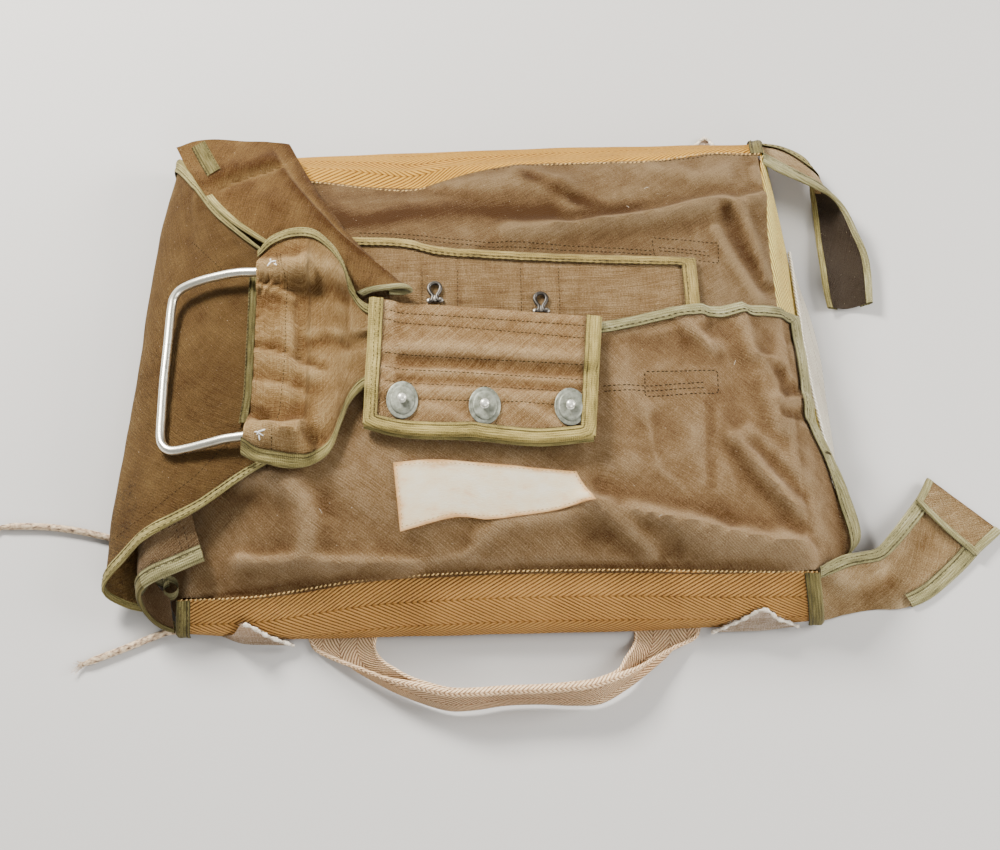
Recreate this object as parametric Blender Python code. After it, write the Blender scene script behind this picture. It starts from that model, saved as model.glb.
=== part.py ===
"""A packed chest parachute: a flat canvas tray full of folded canopy, closed by its flaps.

Walls of herringbone webbing stand round the filled pack.  A back flap, a front flap and
a left flap close over it, a pocket on the left flap holds the ripcord handle, and a small
cover flap with three snap studs closes the middle.  Four corner ears run on from the
walls.  Working unit: millimetres, turned to metres when a mesh is made.
The origin is the centre of the flat base, +X runs along the pack, +Y to its back.
"""
import math
from collections import namedtuple

import bmesh
import bpy
import numpy as np
from mathutils import Vector
from mathutils.bvhtree import BVHTree

for old in list(bpy.data.objects):
    bpy.data.objects.remove(old)

# ---------------------------------------------------------------- driving dimensions (mm)
METRE = 0.001
CANVAS = 1.4            # pack canvas, one flap thick with its turned seams
LINEN = 1.3             # lighter cloth of the pocket, the hook panel and the cover flap
TAPE = 0.8              # binding tape over a raw edge
WEBBING = 2.2           # herringbone webbing
LABEL = 0.7             # cloth label
GAP = 0.35              # between pieces that lie on each other
BINDING = 9.0           # width of the binding tape
HALF_LONG = 200.0       # centre to the seam on the left and right
HALF_WIDE = 160.0       # centre to the seam at the front and back
SEAM_HEIGHT = 38.0      # top of the webbing walls
CORNER_DIP = 14.0       # how far the front left corner has sunk
CROWN_HEIGHT = 75.0     # top of the filled middle
FILL_DEPTH = 2.6        # the filling lies this far under the crown of the flaps
ROD = 3.0               # radius of the ripcord handle
CORD = 2.3              # radius of the two cords
HANG = 26.0             # a flap drops at most this far below the seam
HIGH = 900.0            # a height above everything

Fold = namedtuple("Fold", "x0 y0 x1 y1 width height")
Ring = namedtuple("Ring", "front_left front_right back_right back_left rounding bulge")
Finish = namedtuple("Finish", "colour roughness metallic")

FINISHES = {
    "canvas": Finish((0.20, 0.14, 0.085), 0.92, 0.0),
    "linen": Finish((0.30, 0.21, 0.13), 0.90, 0.0),
    "binding": Finish((0.34, 0.35, 0.17), 0.85, 0.0),
    "gold_webbing": Finish((0.48, 0.29, 0.10), 0.80, 0.0),
    "white_webbing": Finish((0.62, 0.50, 0.38), 0.85, 0.0),
    "steel": Finish((0.62, 0.60, 0.55), 0.30, 1.0),
    "zinc": Finish((0.33, 0.34, 0.30), 0.50, 0.9),
    "label_cloth": Finish((0.80, 0.68, 0.50), 0.90, 0.0),
    "cord_yarn": Finish((0.50, 0.42, 0.32), 0.90, 0.0),
}

# Soft ridges (+) and troughs (-) of the two big flaps, as lines in plan.
FRONT_FOLDS = (
    Fold(60, -126, 196, -150, 13, 5.0),
    Fold(62, -143, 125, -158, 9, -2.0),
    Fold(150, -86, 202, -124, 10, 4.5),
    Fold(140, -96, 196, -140, 9, -2.2),
    Fold(102, -96, 124, -116, 10, -1.8),
    Fold(122, 14, 146, -14, 7, 2.2),
    Fold(166, 16, 188, -62, 8, 3.0),
    Fold(-150, -94, -124, -106, 11, 4.5),
    Fold(-123, -110, -120, -142, 10, 3.5),
    Fold(-186, -136, -60, -148, 10, 2.5),
)
BACK_FOLDS = (
    Fold(40, 82, 194, 110, 11, 5.5),
    Fold(84, 108, 146, 116, 10, -2.2),
    Fold(-90, 106, 60, 90, 12, -2.2),
    Fold(-95, 126, 56, 118, 12, 3.5),
    Fold(168, 96, 188, 30, 8, -2.4),
    Fold(178, 84, 190, 50, 7, 3.0),
)

# ---------------------------------------------------------------- curves and surfaces


def smooth_curve(points, steps=10):
    """A Catmull-Rom curve through the points, as a dense line."""
    points = np.array(points, float)
    if len(points) < 3:
        return points
    padded = np.vstack([2 * points[0] - points[1], points, 2 * points[-1] - points[-2]])
    dense = []
    for before, start, end, after in zip(padded, padded[1:], padded[2:], padded[3:]):
        for step in range(steps):
            t = step / steps
            dense.append(0.5 * (2 * start + (end - before) * t
                                + (2 * before - 5 * start + 4 * end - after) * t ** 2
                                + (3 * start - before - 3 * end + after) * t ** 3))
    return np.array(dense + [points[-1]])


def along(points, fractions):
    """Points at the given fractions of a curve's length."""
    dense = smooth_curve(points)
    steps = np.linalg.norm(np.diff(dense, axis=0), axis=1)
    travelled = np.concatenate([[0.0], np.cumsum(steps)])
    wanted = np.asarray(fractions) * travelled[-1]
    return np.column_stack([np.interp(wanted, travelled, axis) for axis in dense.T])


def stations(count, length, first=0.0, last=0.0):
    """Fractions along an edge: even steps between a border of its own width at each end."""
    marks = list(np.linspace(first / length, 1 - last / length, count + 1))
    if first:
        marks.insert(0, 0.0)
    if last:
        marks.append(1.0)
    return np.array(marks)


def edge_length(points):
    dense = smooth_curve(points)
    return float(np.linalg.norm(np.diff(dense, axis=0), axis=1).sum())


def loft(sections, rows, columns=None, ends=(0, 0), sides=(0, 0)):
    """A grid of points through cross-sections that each have the same number of points.

    Without `columns` the grid keeps the cross-sections' own points.
    """
    sections = np.array(sections, float)
    middle = sections.shape[1] // 2
    down = stations(rows, edge_length(sections[:, middle]), *ends)
    lines = np.stack([along(sections[:, k], down) for k in range(sections.shape[1])], axis=1)
    if columns is None:
        return lines
    width = np.mean([edge_length(line) for line in lines])
    across = stations(columns, width, *sides)
    return np.stack([along(line, across) for line in lines])


def patch(front, back, left, right, rows, columns, ends=(0, 0), sides=(0, 0)):
    """A Coons patch in plan: rows run from left to right, columns from front to back."""
    four = [np.array([(p[0], p[1], 0.0) for p in edge]) for edge in (front, back, left, right)]
    s = stations(rows, 0.5 * (edge_length(four[0]) + edge_length(four[1])), *ends)
    t = stations(columns, 0.5 * (edge_length(four[2]) + edge_length(four[3])), *sides)
    front, back = along(four[0], s)[:, None], along(four[1], s)[:, None]
    left, right = along(four[2], t)[None], along(four[3], t)[None]
    s, t = s[:, None, None], t[None, :, None]
    corners = ((1 - s) * (1 - t) * left[:, :1] + (1 - s) * t * left[:, -1:]
               + s * (1 - t) * right[:, :1] + s * t * right[:, -1:])
    return (1 - t) * front + t * back + (1 - s) * left + s * right - corners


def unit(vectors):
    return vectors / np.maximum(np.linalg.norm(vectors, axis=-1, keepdims=True), 1e-9)


def normals(grid):
    """Normals at the points of a grid, each the mean of the triangles round it."""
    a, b, c, d = grid[:-1, :-1], grid[1:, :-1], grid[1:, 1:], grid[:-1, 1:]
    first, second = unit(np.cross(b - a, c - a)), unit(np.cross(c - a, d - a))
    total = np.zeros_like(grid)
    total[:-1, :-1] += first + second
    total[1:, :-1] += first
    total[1:, 1:] += first + second
    total[:-1, 1:] += second
    return unit(total)


def seam_height(x, y):
    """Height of the wall's top seam, sunk at the front left corner."""
    sink = np.clip((-x - 55) / 110, 0, 1) * np.clip(-y / HALF_WIDE, 0, 1)
    return SEAM_HEIGHT - CORNER_DIP * sink * sink * (3 - 2 * sink)


def crown(x, y):
    """Height of the closed flaps over the base, without their folds."""
    draw_in = 1 - np.clip(np.abs(x) / HALF_LONG, 0, 1) ** 2
    u = np.abs(x) / HALF_LONG
    v = np.abs(y) / (HALF_WIDE - 5 * draw_in)
    inside = np.clip(1 - u ** 2.6, 0, 1) * np.clip(1 - v ** 2.6, 0, 1)
    base = seam_height(x, y)
    outside = np.maximum(np.maximum(u - 1, 0) * HALF_LONG, np.maximum(v - 1, 0) * HALF_WIDE)
    return base + (CROWN_HEIGHT - base) * inside ** 0.55 - np.minimum(outside, HANG)


def fold_height(folds, x, y):
    """Sum of soft ridges and troughs at a point in plan."""
    total = np.zeros_like(x)
    for fold in folds:
        run = np.array([fold.x1 - fold.x0, fold.y1 - fold.y0], float)
        place = ((x - fold.x0) * run[0] + (y - fold.y0) * run[1]) / run.dot(run)
        near = np.clip(place, 0, 1)
        distance = np.hypot(x - fold.x0 - near * run[0], y - fold.y0 - near * run[1])
        total = total + fold.height * np.exp(-(distance / fold.width) ** 2)
    return total


def spread(grid, folds=(), lift=0.0):
    """Lay a patch over the crown of the pack."""
    x, y = grid[..., 0], grid[..., 1]
    raised = grid.copy()
    raised[..., 2] = crown(x, y) + fold_height(folds, x, y) + lift
    return raised


# ---------------------------------------------------------------- making the solids

solids = {}             # node name: (points in mm, triangles), for what is laid on it later


def finish_of(kind):
    made = bpy.data.materials.get(kind)
    if made is None:
        made = bpy.data.materials.new(kind)
        made.use_nodes = True
        shader = made.node_tree.nodes["Principled BSDF"]
        colour, roughness, metallic = FINISHES[kind]
        shader.inputs["Base Color"].default_value = (*colour, 1.0)
        shader.inputs["Roughness"].default_value = roughness
        shader.inputs["Metallic"].default_value = metallic
    return made


def keep(name, thing, kind):
    """Name the object, give it its finish, and remember its solid."""
    thing.name = name
    thing.data.name = name
    thing.data.materials.append(finish_of(kind))
    bpy.context.collection.objects.link(thing)
    bpy.context.view_layer.update()
    evaluated = thing.evaluated_get(bpy.context.evaluated_depsgraph_get())
    mesh = evaluated.to_mesh()
    mesh.calc_loop_triangles()
    points = np.array([thing.matrix_world @ v.co for v in mesh.vertices]) / METRE
    solids[name] = (points, [tuple(t.vertices) for t in mesh.loop_triangles])
    evaluated.to_mesh_clear()
    return thing


def mesh_object(name, bm, kind):
    bmesh.ops.recalc_face_normals(bm, faces=bm.faces)
    if bm.calc_volume(signed=True) < 0:
        bmesh.ops.reverse_faces(bm, faces=bm.faces)
    mesh = bpy.data.meshes.new(name)
    bm.to_mesh(mesh)
    bm.free()
    mesh.shade_smooth()
    mesh.set_sharp_from_angle(angle=math.radians(40))
    return keep(name, bpy.data.objects.new(name, mesh), kind)


def border(grid, *sides):
    """The cells along the named sides of a grid: start, end, low, high."""
    rows, columns = grid.shape[0] - 1, grid.shape[1] - 1
    on_side = {"start": lambda i, j: i == 0, "end": lambda i, j: i == rows - 1,
               "low": lambda i, j: j == 0, "high": lambda i, j: j == columns - 1}
    return {(i, j) for i in range(rows) for j in range(columns)
            if any(on_side[side](i, j) for side in sides)}


def slab(name, grid, thickness, kind, offset=0.0, cells=None):
    """A closed sheet about a grid of points, or about some cells of it, offset along its normal."""
    rows, columns = grid.shape[0] - 1, grid.shape[1] - 1
    normal = normals(grid)
    under = (grid + normal * (offset - thickness / 2)) * METRE
    over = (grid + normal * (offset + thickness / 2)) * METRE
    bm = bmesh.new()
    bmesh.ops.create_grid(bm, x_segments=rows, y_segments=columns, size=0.5)
    row_of = bm.verts.layers.int.new("row")
    column_of = bm.verts.layers.int.new("column")
    for vert in bm.verts:
        vert[row_of] = round((vert.co.x + 0.5) * rows)
        vert[column_of] = round((vert.co.y + 0.5) * columns)
    unwanted = []
    for face in list(bm.faces):
        corner = (min(v[row_of] for v in face.verts), min(v[column_of] for v in face.verts))
        if cells is not None and corner not in cells:
            unwanted.append(face)
            continue
        place = {(v[row_of] - corner[0], v[column_of] - corner[1]): v for v in face.verts}
        bmesh.utils.face_split(face, place[0, 0], place[1, 1])
    bmesh.ops.delete(bm, geom=unwanted, context="FACES")
    raised = bmesh.ops.extrude_face_region(bm, geom=list(bm.faces))["geom"]
    raised = {v for v in raised if isinstance(v, bmesh.types.BMVert)}
    for vert in bm.verts:
        side = over if vert in raised else under
        vert.co = Vector(side[vert[row_of], vert[column_of]])
    return mesh_object(name, bm, kind)


def together(names, turn=np.eye(3)):
    """The points of some finished solids, turned, and a tree of their faces."""
    points, faces = [], []
    for name in names:
        vertices, triangles = solids[name]
        faces += [tuple(k + len(points) for k in triangle) for triangle in triangles]
        points += list(vertices @ turn.T)
    return points, BVHTree.FromPolygons([Vector(p) for p in points], faces)


def height_at(ground, x, y):
    """Height of the topmost surface over a point in plan, or None."""
    hit = ground.ray_cast(Vector((x, y, HIGH)), Vector((0, 0, -1)))
    return None if hit[0] is None else hit[0].z


SAMPLE_STEPS = 6        # each triangle of a settling grid is tested at this many steps a side
SETTLE_ROUNDS = 60      # most rounds of pushing before a grid is taken as settled


def settle(grid, below, clear, up=(0.0, 0.0, 1.0), part=np.s_[:, :]):
    """Push a grid, or one part of it, along `up` until it clears the solids named in `below`."""
    turn = np.array(Vector(up).rotation_difference(Vector((0, 0, 1))).to_matrix())
    points, ground = together(below, turn)
    shape = grid.shape
    turned = grid.reshape(-1, 3) @ turn.T
    number = np.arange(len(turned)).reshape(shape[:2])[part]
    a, b = number[:-1, :-1].ravel(), number[1:, :-1].ravel()
    c, d = number[1:, 1:].ravel(), number[:-1, 1:].ravel()
    cells = np.vstack([np.column_stack([a, b, c]), np.column_stack([a, c, d])])
    flat = [Vector((p[0], p[1], 0.0)) for p in turned]
    plan = BVHTree.FromPolygons(flat, [tuple(int(k) for k in cell) for cell in cells])
    shares = [(p / SAMPLE_STEPS, q / SAMPLE_STEPS)
              for p in range(SAMPLE_STEPS + 1) for q in range(SAMPLE_STEPS + 1 - p)]
    samples = []
    for cell in cells:
        corner = turned[cell]
        for p, q in shares:
            share = np.array([1 - p - q, p, q])
            samples.append((cell, share, share @ corner[:, :2]))
    low, high = turned[:, :2].min(axis=0), turned[:, :2].max(axis=0)
    for point in points:
        if np.all(point[:2] > low) and np.all(point[:2] < high):
            hit = plan.ray_cast(Vector((point[0], point[1], 1.0)), Vector((0, 0, -1)))
            if hit[2] is None:
                continue
            cell = cells[hit[2]]
            (x0, y0), (x1, y1), (x2, y2) = turned[cell][:, :2]
            area = (x1 - x0) * (y2 - y0) - (x2 - x0) * (y1 - y0)
            if abs(area) < 1.0:
                continue
            p = ((point[0] - x0) * (y2 - y0) - (x2 - x0) * (point[1] - y0)) / area
            q = ((x1 - x0) * (point[1] - y0) - (point[0] - x0) * (y1 - y0)) / area
            samples.append((cell, np.array([1 - p - q, p, q]), np.array(point[:2])))
    corners, weights, needed = [], [], []
    for cell, share, place in samples:
        height = height_at(ground, place[0], place[1])
        if height is not None:
            corners.append(cell)
            weights.append(share)
            needed.append(height + clear)
    if not corners:
        return grid
    corners, weights, needed = np.array(corners), np.array(weights), np.array(needed)
    for _ in range(SETTLE_ROUNDS):
        short = needed - (weights * turned[corners, 2]).sum(axis=1)
        late = short > 1e-3
        if not late.any():
            break
        lift = weights[late] * (short[late] / (weights[late] ** 2).sum(axis=1))[:, None]
        rise = np.zeros(len(turned))
        np.maximum.at(rise, corners[late].ravel(), lift.ravel())
        turned[:, 2] += rise
    return (turned @ turn).reshape(shape)


def tube(name, points, radius, kind, sides=2):
    """A round rod or cord along a line of points."""
    curve = bpy.data.curves.new(name, "CURVE")
    curve.dimensions = "3D"
    curve.bevel_depth = radius * METRE
    curve.bevel_resolution = sides
    curve.use_fill_caps = True
    spline = curve.splines.new("POLY")
    spline.points.add(len(points) - 1)
    for point, place in zip(spline.points, points):
        point.co = (*(np.asarray(place) * METRE), 1.0)
    return keep(name, bpy.data.objects.new(name, curve), kind)


# ---------------------------------------------------------------- the filled pack

# Level rings of the filled body, from its flat base to the seam under the flaps.
BODY_RINGS = (
    Ring((-203, -168, 0), (214, -171, 0), (196, 168, 0), (-203, 168, 0), 18, 3),
    Ring((-208, -173, 2.8), (219, -177, 2.8), (200, 173, 2.8), (-208, 173, 2.8), 20, 4),
    Ring((-211, -176, 9), (222, -180, 9), (203, 176, 9), (-211, 176, 9), 24, 4),
    Ring((-208, -170, 17), (215, -175, 25), (201, 169, 24), (-207, 170, 22), 26, 1),
    Ring((-200, -160, 24), (201, -162, 37), (197, 158, 37), (-199, 159, 36), 26, -5),
)
CROWN_RINGS = (0.93, 0.84, 0.70, 0.50, 0.26)     # share of the seam ring's reach
SIDE_POINTS = 11
CORNER_POINTS = 4


def ring_points(ring):
    """One level ring: four bulging sides joined by round corners."""
    corners = [np.array(c, float) for c in ring[:4]]
    line = []
    for k in range(4):
        start, end = corners[k], corners[(k + 1) % 4]
        run = (end - start) / np.linalg.norm(end[:2] - start[:2])
        length = np.linalg.norm(end[:2] - start[:2])
        outward = np.array([run[1], -run[0], 0.0])
        for share in np.linspace(0, 1, SIDE_POINTS):
            reach = ring.rounding + share * (length - 2 * ring.rounding)
            belly = ring.bulge * (1 - (2 * share - 1) ** 2)
            line.append(start + run * reach + outward * belly)
        before = line[-1]
        after = end + (corners[(k + 2) % 4] - end) / np.linalg.norm(
            (corners[(k + 2) % 4] - end)[:2]) * ring.rounding
        for share in np.linspace(0, 1, CORNER_POINTS + 2)[1:-1]:
            line.append((1 - share) ** 2 * before + 2 * share * (1 - share) * end
                        + share ** 2 * after)
    return line


def make_body():
    bm = bmesh.new()
    rings = [ring_points(ring) for ring in BODY_RINGS]
    seam = np.array(rings[-1])
    seam[:, 2] = seam_height(seam[:, 0], seam[:, 1]) - 1.0
    rings[-1] = seam
    for share in CROWN_RINGS:
        ring = seam * share
        ring[:, 2] = crown(ring[:, 0], ring[:, 1]) - FILL_DEPTH
        rings.append(ring)
    loops = [[bm.verts.new(Vector(p) * METRE) for p in ring] for ring in rings]
    for low, high in zip(loops, loops[1:]):
        edges = [bm.edges.get((a, b)) or bm.edges.new((a, b))
                 for loop in (low, high) for a, b in zip(loop, loop[1:] + loop[:1])]
        bmesh.ops.bridge_loops(bm, edges=edges)
    bm.faces.new(loops[0])
    middle = bm.verts.new((0, 0, (CROWN_HEIGHT - FILL_DEPTH) * METRE))
    for a, b in zip(loops[-1], loops[-1][1:] + loops[-1][:1]):
        bm.faces.new((a, b, middle))
    mesh_object("pack_body", bm, "canvas")


make_body()

# ---------------------------------------------------------------- walls of webbing

# Cross-sections of each wall, from its top seam down to its foot.
FRONT_WALL = (
    ((-204, -162, 25), (-205, -171, 17), (-206, -177, 9), (-206, -177, 3.6)),
    ((-150, -163, 29), (-150, -174, 20), (-150, -182, 10), (-150, -183, 3.6)),
    ((-80, -158, 38), (-80, -171, 28), (-80, -183, 14), (-80, -185, 3.6)),
    ((0, -157, 40), (0, -172, 30), (0, -184, 15), (0, -186, 3.6)),
    ((80, -159, 40), (80, -173, 30), (80, -185, 15), (80, -187, 3.6)),
    ((150, -163, 40), (150, -176, 30), (150, -186, 15), (150, -187, 3.6)),
    ((204, -165, 39), (206, -177, 28), (208, -184, 14), (209, -185, 3.6)),
)
RIGHT_WALL = (
    ((205, -140, 38), (214, -142, 27), (222, -144, 14), (225, -144, 3.6)),
    ((200, -70, 39), (212, -70, 28), (222, -70, 14), (224, -70, 3.6)),
    ((197, 20, 39), (208, 20, 28), (217, 20, 14), (219, 20, 3.6)),
    ((198, 90, 39), (205, 90, 28), (212, 90, 14), (214, 90, 3.6)),
    ((200, 150, 38), (203, 150, 28), (206, 150, 14), (206, 150, 3.6)),
)
BACK_WALL = (
    ((198, 161, 37), (200, 170, 27), (201, 178, 14), (201, 179, 3.6)),
    ((120, 157, 38), (120, 169, 28), (120, 180, 14), (120, 182, 3.6)),
    ((30, 155, 38), (30, 169, 28), (30, 181, 14), (30, 183, 3.6)),
    ((-70, 155, 38), (-70, 169, 28), (-70, 181, 14), (-70, 182, 3.6)),
    ((-130, 159, 37), (-130, 169, 28), (-130, 180, 14), (-130, 181, 3.6)),
)
WALL_CLEAR = WEBBING / 2 + GAP + 0.15


def make_wall(name, sections, rows, up, ends=(0, 0)):
    grid = loft(sections, rows, 3, ends=ends)
    grid = settle(grid, ["pack_body"], WALL_CLEAR, up)
    slab(name, grid[:, ::-1], WEBBING, "gold_webbing")
    return grid[:, ::-1]


front_wall = make_wall("front_wall", FRONT_WALL, 15, (0, -1, 0), ends=(BINDING, BINDING))
right_wall = make_wall("right_wall", RIGHT_WALL, 9, (1, 0, 0))
back_wall = make_wall("back_wall", BACK_WALL, 10, (0, 1, 0), ends=(BINDING, 0))
OVER_WEBBING = (WEBBING + TAPE) / 2 + GAP
slab("front_wall_left_binding", front_wall, TAPE, "binding", OVER_WEBBING,
     border(front_wall, "start"))
slab("front_wall_right_binding", front_wall, TAPE, "binding", OVER_WEBBING,
     border(front_wall, "end"))
slab("back_wall_right_binding", back_wall, TAPE, "binding", OVER_WEBBING,
     border(back_wall, "start"))

# ---------------------------------------------------------------- back flap and hook panel

LAID = CANVAS / 2 + GAP + 0.25
back_flap = patch(front=((-186, 24), (-75, -2), (76, -5), (197, 10)),
                  back=((-196, 154), (-112, 153), (-40, 148), (60, 148), (130, 150), (194, 152)),
                  left=((-186, 24), (-194, 90), (-196, 154)),
                  right=((197, 10), (196, 80), (194, 152)), rows=22, columns=9)
back_flap = settle(spread(back_flap, BACK_FOLDS), ["pack_body"], LAID)
slab("back_flap", back_flap, CANVAS, "canvas")

hook_panel = patch(front=((-88, 0), (76, -6), (140, 4)),
                   back=((-88, 75), (-51, 70), (-26, 62), (37, 55), (90, 52), (140, 52)),
                   left=((-88, 0), (-88, 75)), right=((140, 4), (140, 52)),
                   rows=13, columns=4, ends=(0, BINDING), sides=(0, BINDING))
hook_panel = settle(spread(hook_panel, BACK_FOLDS, 3.0), ["back_flap"], LINEN / 2 + GAP + 0.2)
slab("hook_panel", hook_panel, LINEN, "linen")
OVER_LINEN = (LINEN + TAPE) / 2 + GAP
slab("hook_panel_binding", hook_panel, TAPE, "binding", OVER_LINEN,
     border(hook_panel, "end", "high"))

# ---------------------------------------------------------------- front flap

front_flap = patch(front=((-197, -156), (-150, -158), (-80, -153), (0, -152), (80, -154),
                          (150, -157), (224, -144)),
                   back=((-195, -46), (-80, -14), (0, -8), (78, 1), (124, 12), (168, 18),
                         (212, 27)),
                   left=((-197, -156), (-196, -100), (-195, -46)),
                   right=((224, -144), (238, -130), (233, -98), (226, -74), (214, -52),
                          (213, -20), (212, 27)),
                   rows=26, columns=11, ends=(0, BINDING), sides=(0, BINDING))
front_flap = settle(spread(front_flap, FRONT_FOLDS, 0.5),
                    ["pack_body", "back_flap", "hook_panel", "hook_panel_binding", "right_wall"],
                    LAID)
slab("front_flap", front_flap, CANVAS, "canvas")
OVER_CANVAS = (CANVAS + TAPE) / 2 + GAP
COVER_EDGE = 66.0       # the binding starts under the cover flap
slab("front_flap_binding", front_flap, TAPE, "binding", OVER_CANVAS,
     {(i, j) for i, j in border(front_flap, "high", "end") if front_flap[i, j, 0] > COVER_EDGE})

label = patch(front=((-60, -135), (-25, -128), (-3, -130), (22, -128), (64, -124)),
              back=((-63, -92), (-38, -91), (-11, -94), (53, -102)),
              left=((-60, -135), (-63, -92)), right=((64, -124), (57, -111), (53, -102)),
              rows=7, columns=3)
label = settle(spread(label, FRONT_FOLDS, 2.0), ["front_flap"], LABEL / 2 + GAP + 0.1)
slab("label", label, LABEL, "label_cloth")

# ---------------------------------------------------------------- front left ear

# Each ear is a strip that runs on from a wall's end: lower or front edge, middle, upper edge.
EAR_FRONT_LEFT = (
    ((-207.4, -176, 6.5), (-207.4, -170, 17), (-207.4, -162, 28)),
    ((-216, -173, 8), (-216, -164, 18), (-215, -153, 27)),
    ((-223, -168, 11), (-224, -156, 20), (-223, -142, 27)),
    ((-227.5, -163, 17), (-228.5, -149, 24), (-228, -133, 29)),
    ((-228.5, -159, 25), (-230, -144, 31), (-229, -128, 36)),
    ((-225, -156, 33), (-226.5, -141, 38.5), (-226, -125, 43)),
    ((-217, -153, 38), (-218, -138, 43), (-218, -122, 46.5)),
    ((-205, -149.5, 41), (-207, -134, 45), (-208, -118.5, 48.5)),
    ((-185, -142, 43), (-189, -128, 46), (-193, -112, 49)),
)
TURN_ROW = 8            # beyond this row the ear lies over the corner, inside up
ear = loft(EAR_FRONT_LEFT, 13, 3, sides=(BINDING, 0))
ear = settle(ear, ["pack_body", "front_flap"], LAID, part=np.s_[TURN_ROW:, :])
slab("ear_front_left", ear, CANVAS, "canvas")
slab("ear_front_left_binding", ear, TAPE, "binding", OVER_CANVAS,
     {(i, j) for i, j in border(ear, "low") if i >= TURN_ROW})

# ---------------------------------------------------------------- left flap

# From the front edge to the back edge; each runs from its tip on the crown, over the left
# side where it stands off the pack, and back in under the pack's lower edge.
LEFT_FLAP = (
    ((-132, -82, 69), (-160, -96, 63), (-188, -113, 56), (-216, -125, 47), (-238, -138, 35),
     (-253, -150, 18), (-240, -157, 6.5), (-221, -162, 6)),
    ((-130, -60, 71), (-160, -64, 65), (-190, -72, 56), (-216, -80, 46), (-236, -88, 32),
     (-249, -96, 18), (-238, -100, 7), (-219, -100, 7)),
    ((-128, -15, 73), (-158, -15, 66), (-188, -15, 56), (-212, -15, 45), (-229, -15, 32),
     (-238, -15, 18), (-231, -15, 7), (-219, -15, 7)),
    ((-128, 35, 72), (-156, 38, 65), (-184, 42, 55), (-206, 44, 44), (-222, 45, 32),
     (-232, 45, 18), (-227, 45, 7), (-218, 45, 7)),
    ((-130, 50, 70.5), (-157, 70, 62.5), (-182, 90, 53), (-202, 100, 42), (-216, 105, 31),
     (-225, 107, 18), (-222, 107, 7), (-216, 106, 7)),
    ((-141, 65, 68.5), (-164, 87, 61), (-180, 108, 54), (-195, 132, 45), (-205, 152, 35),
     (-213, 171, 19), (-213, 174, 8), (-209, 172, 6)),
)
left_flap = loft(LEFT_FLAP, 13, 13, ends=(BINDING, BINDING))
TOP_COLUMNS = 9         # the columns that lie over the pack
left_flap = settle(left_flap, ["pack_body", "front_flap", "back_flap", "ear_front_left",
                               "ear_front_left_binding"], LAID, part=np.s_[:, :TOP_COLUMNS])
slab("left_flap", left_flap, CANVAS, "canvas")
slab("left_flap_front_binding", left_flap, TAPE, "binding", OVER_CANVAS,
     border(left_flap, "start"))
slab("left_flap_back_binding", left_flap, TAPE, "binding", OVER_CANVAS,
     border(left_flap, "end"))

# ---------------------------------------------------------------- back left corner flap

# From the back wall to its tip.  Each section runs from the left edge to the outermost point
# of the raised fold, with the drop of the cloth that turns back under it.
CORNER_FLAP = (
    ((-208, 178, 36), (-190, 180, 37.5), (-160, 176, 43), (-131, 164, 49), 5),
    ((-194, 149, 46), (-172, 147, 51), (-143, 140, 60), (-117, 127, 67), 7),
    ((-176, 117, 57), (-152, 113, 63), (-126, 109, 72), (-104, 100, 76), 8),
    ((-158, 90, 66), (-138, 87, 71), (-112, 82, 79), (-89, 73, 81), 8),
    ((-128, 60, 74), (-112, 57, 79), (-91, 54, 86), (-72, 50, 85), 8),
    ((-97, 39, 79), (-88, 38, 84), (-73, 35, 89), (-57, 33, 87), 8),
    ((-80, 25, 82), (-72, 25, 86.5), (-62, 25, 90), (-48, 24.5, 87), 8),
)
FOLD_BACK = 5.0         # from the outermost point to where the plies run level
UNDER_REACH = 15.0      # how far the cloth turned under runs back


def folded(section):
    """A section of the corner flap with its round fold and the cloth turned under."""
    edge, inner, shoulder, outermost = (np.array(p, float) for p in section[:4])
    run = unit((outermost - shoulder) * (1, 1, 0))
    half = np.array([0, 0, section[4] / 2])
    return (edge, inner, outermost - run * FOLD_BACK + half, outermost,
            outermost - run * FOLD_BACK - half, outermost - run * UNDER_REACH - half)


# columns of the flap: its binding, the level cloth, the fold, the cloth turned under
FOLD_MARKS = (0.0, 0.09, 0.27, 0.45, 0.62, 0.72, 0.77, 0.81, 0.85, 0.91, 1.0)
corner_flap = np.stack([along(line, FOLD_MARKS) for line in
                        loft([folded(section) for section in CORNER_FLAP], 11, ends=(0, 6))])
corner_flap = corner_flap[:, ::-1]
UNDER_CORNER = ["pack_body", "back_wall", "back_flap", "hook_panel", "hook_panel_binding",
                "left_flap", "left_flap_back_binding"]
corner_flap = settle(corner_flap, UNDER_CORNER, LAID + 0.5)
slab("corner_flap", corner_flap, CANVAS, "canvas")
FOLD_COLUMN = 5         # the raised fold; the cloth before it is turned under
slab("corner_flap_binding", corner_flap, TAPE, "binding", OVER_CANVAS,
     {(i, j) for i, j in border(corner_flap, "end", "high") if j >= FOLD_COLUMN})

# ---------------------------------------------------------------- ripcord handle

HANDLE_PATH = (
    (-116, 44, 84), (-133, 46, 80), (-150, 48.4, 76), (-162, 50.5, 72.5), (-175, 51.5, 67.5),
    (-190, 51.5, 61), (-201, 50, 55.5), (-206.5, 46, 52.5), (-208.8, 38, 51), (-210.8, 10, 50),
    (-212.6, -16, 50), (-213.6, -41, 50), (-213.8, -58, 50.5), (-211.5, -65.5, 51.5),
    (-206, -69.8, 53.5), (-196, -70.8, 57.5), (-181, -70.6, 64), (-170, -70.2, 68.5),
    (-157.5, -71, 73), (-140, -72, 79), (-122, -73, 83.5),
)


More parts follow.
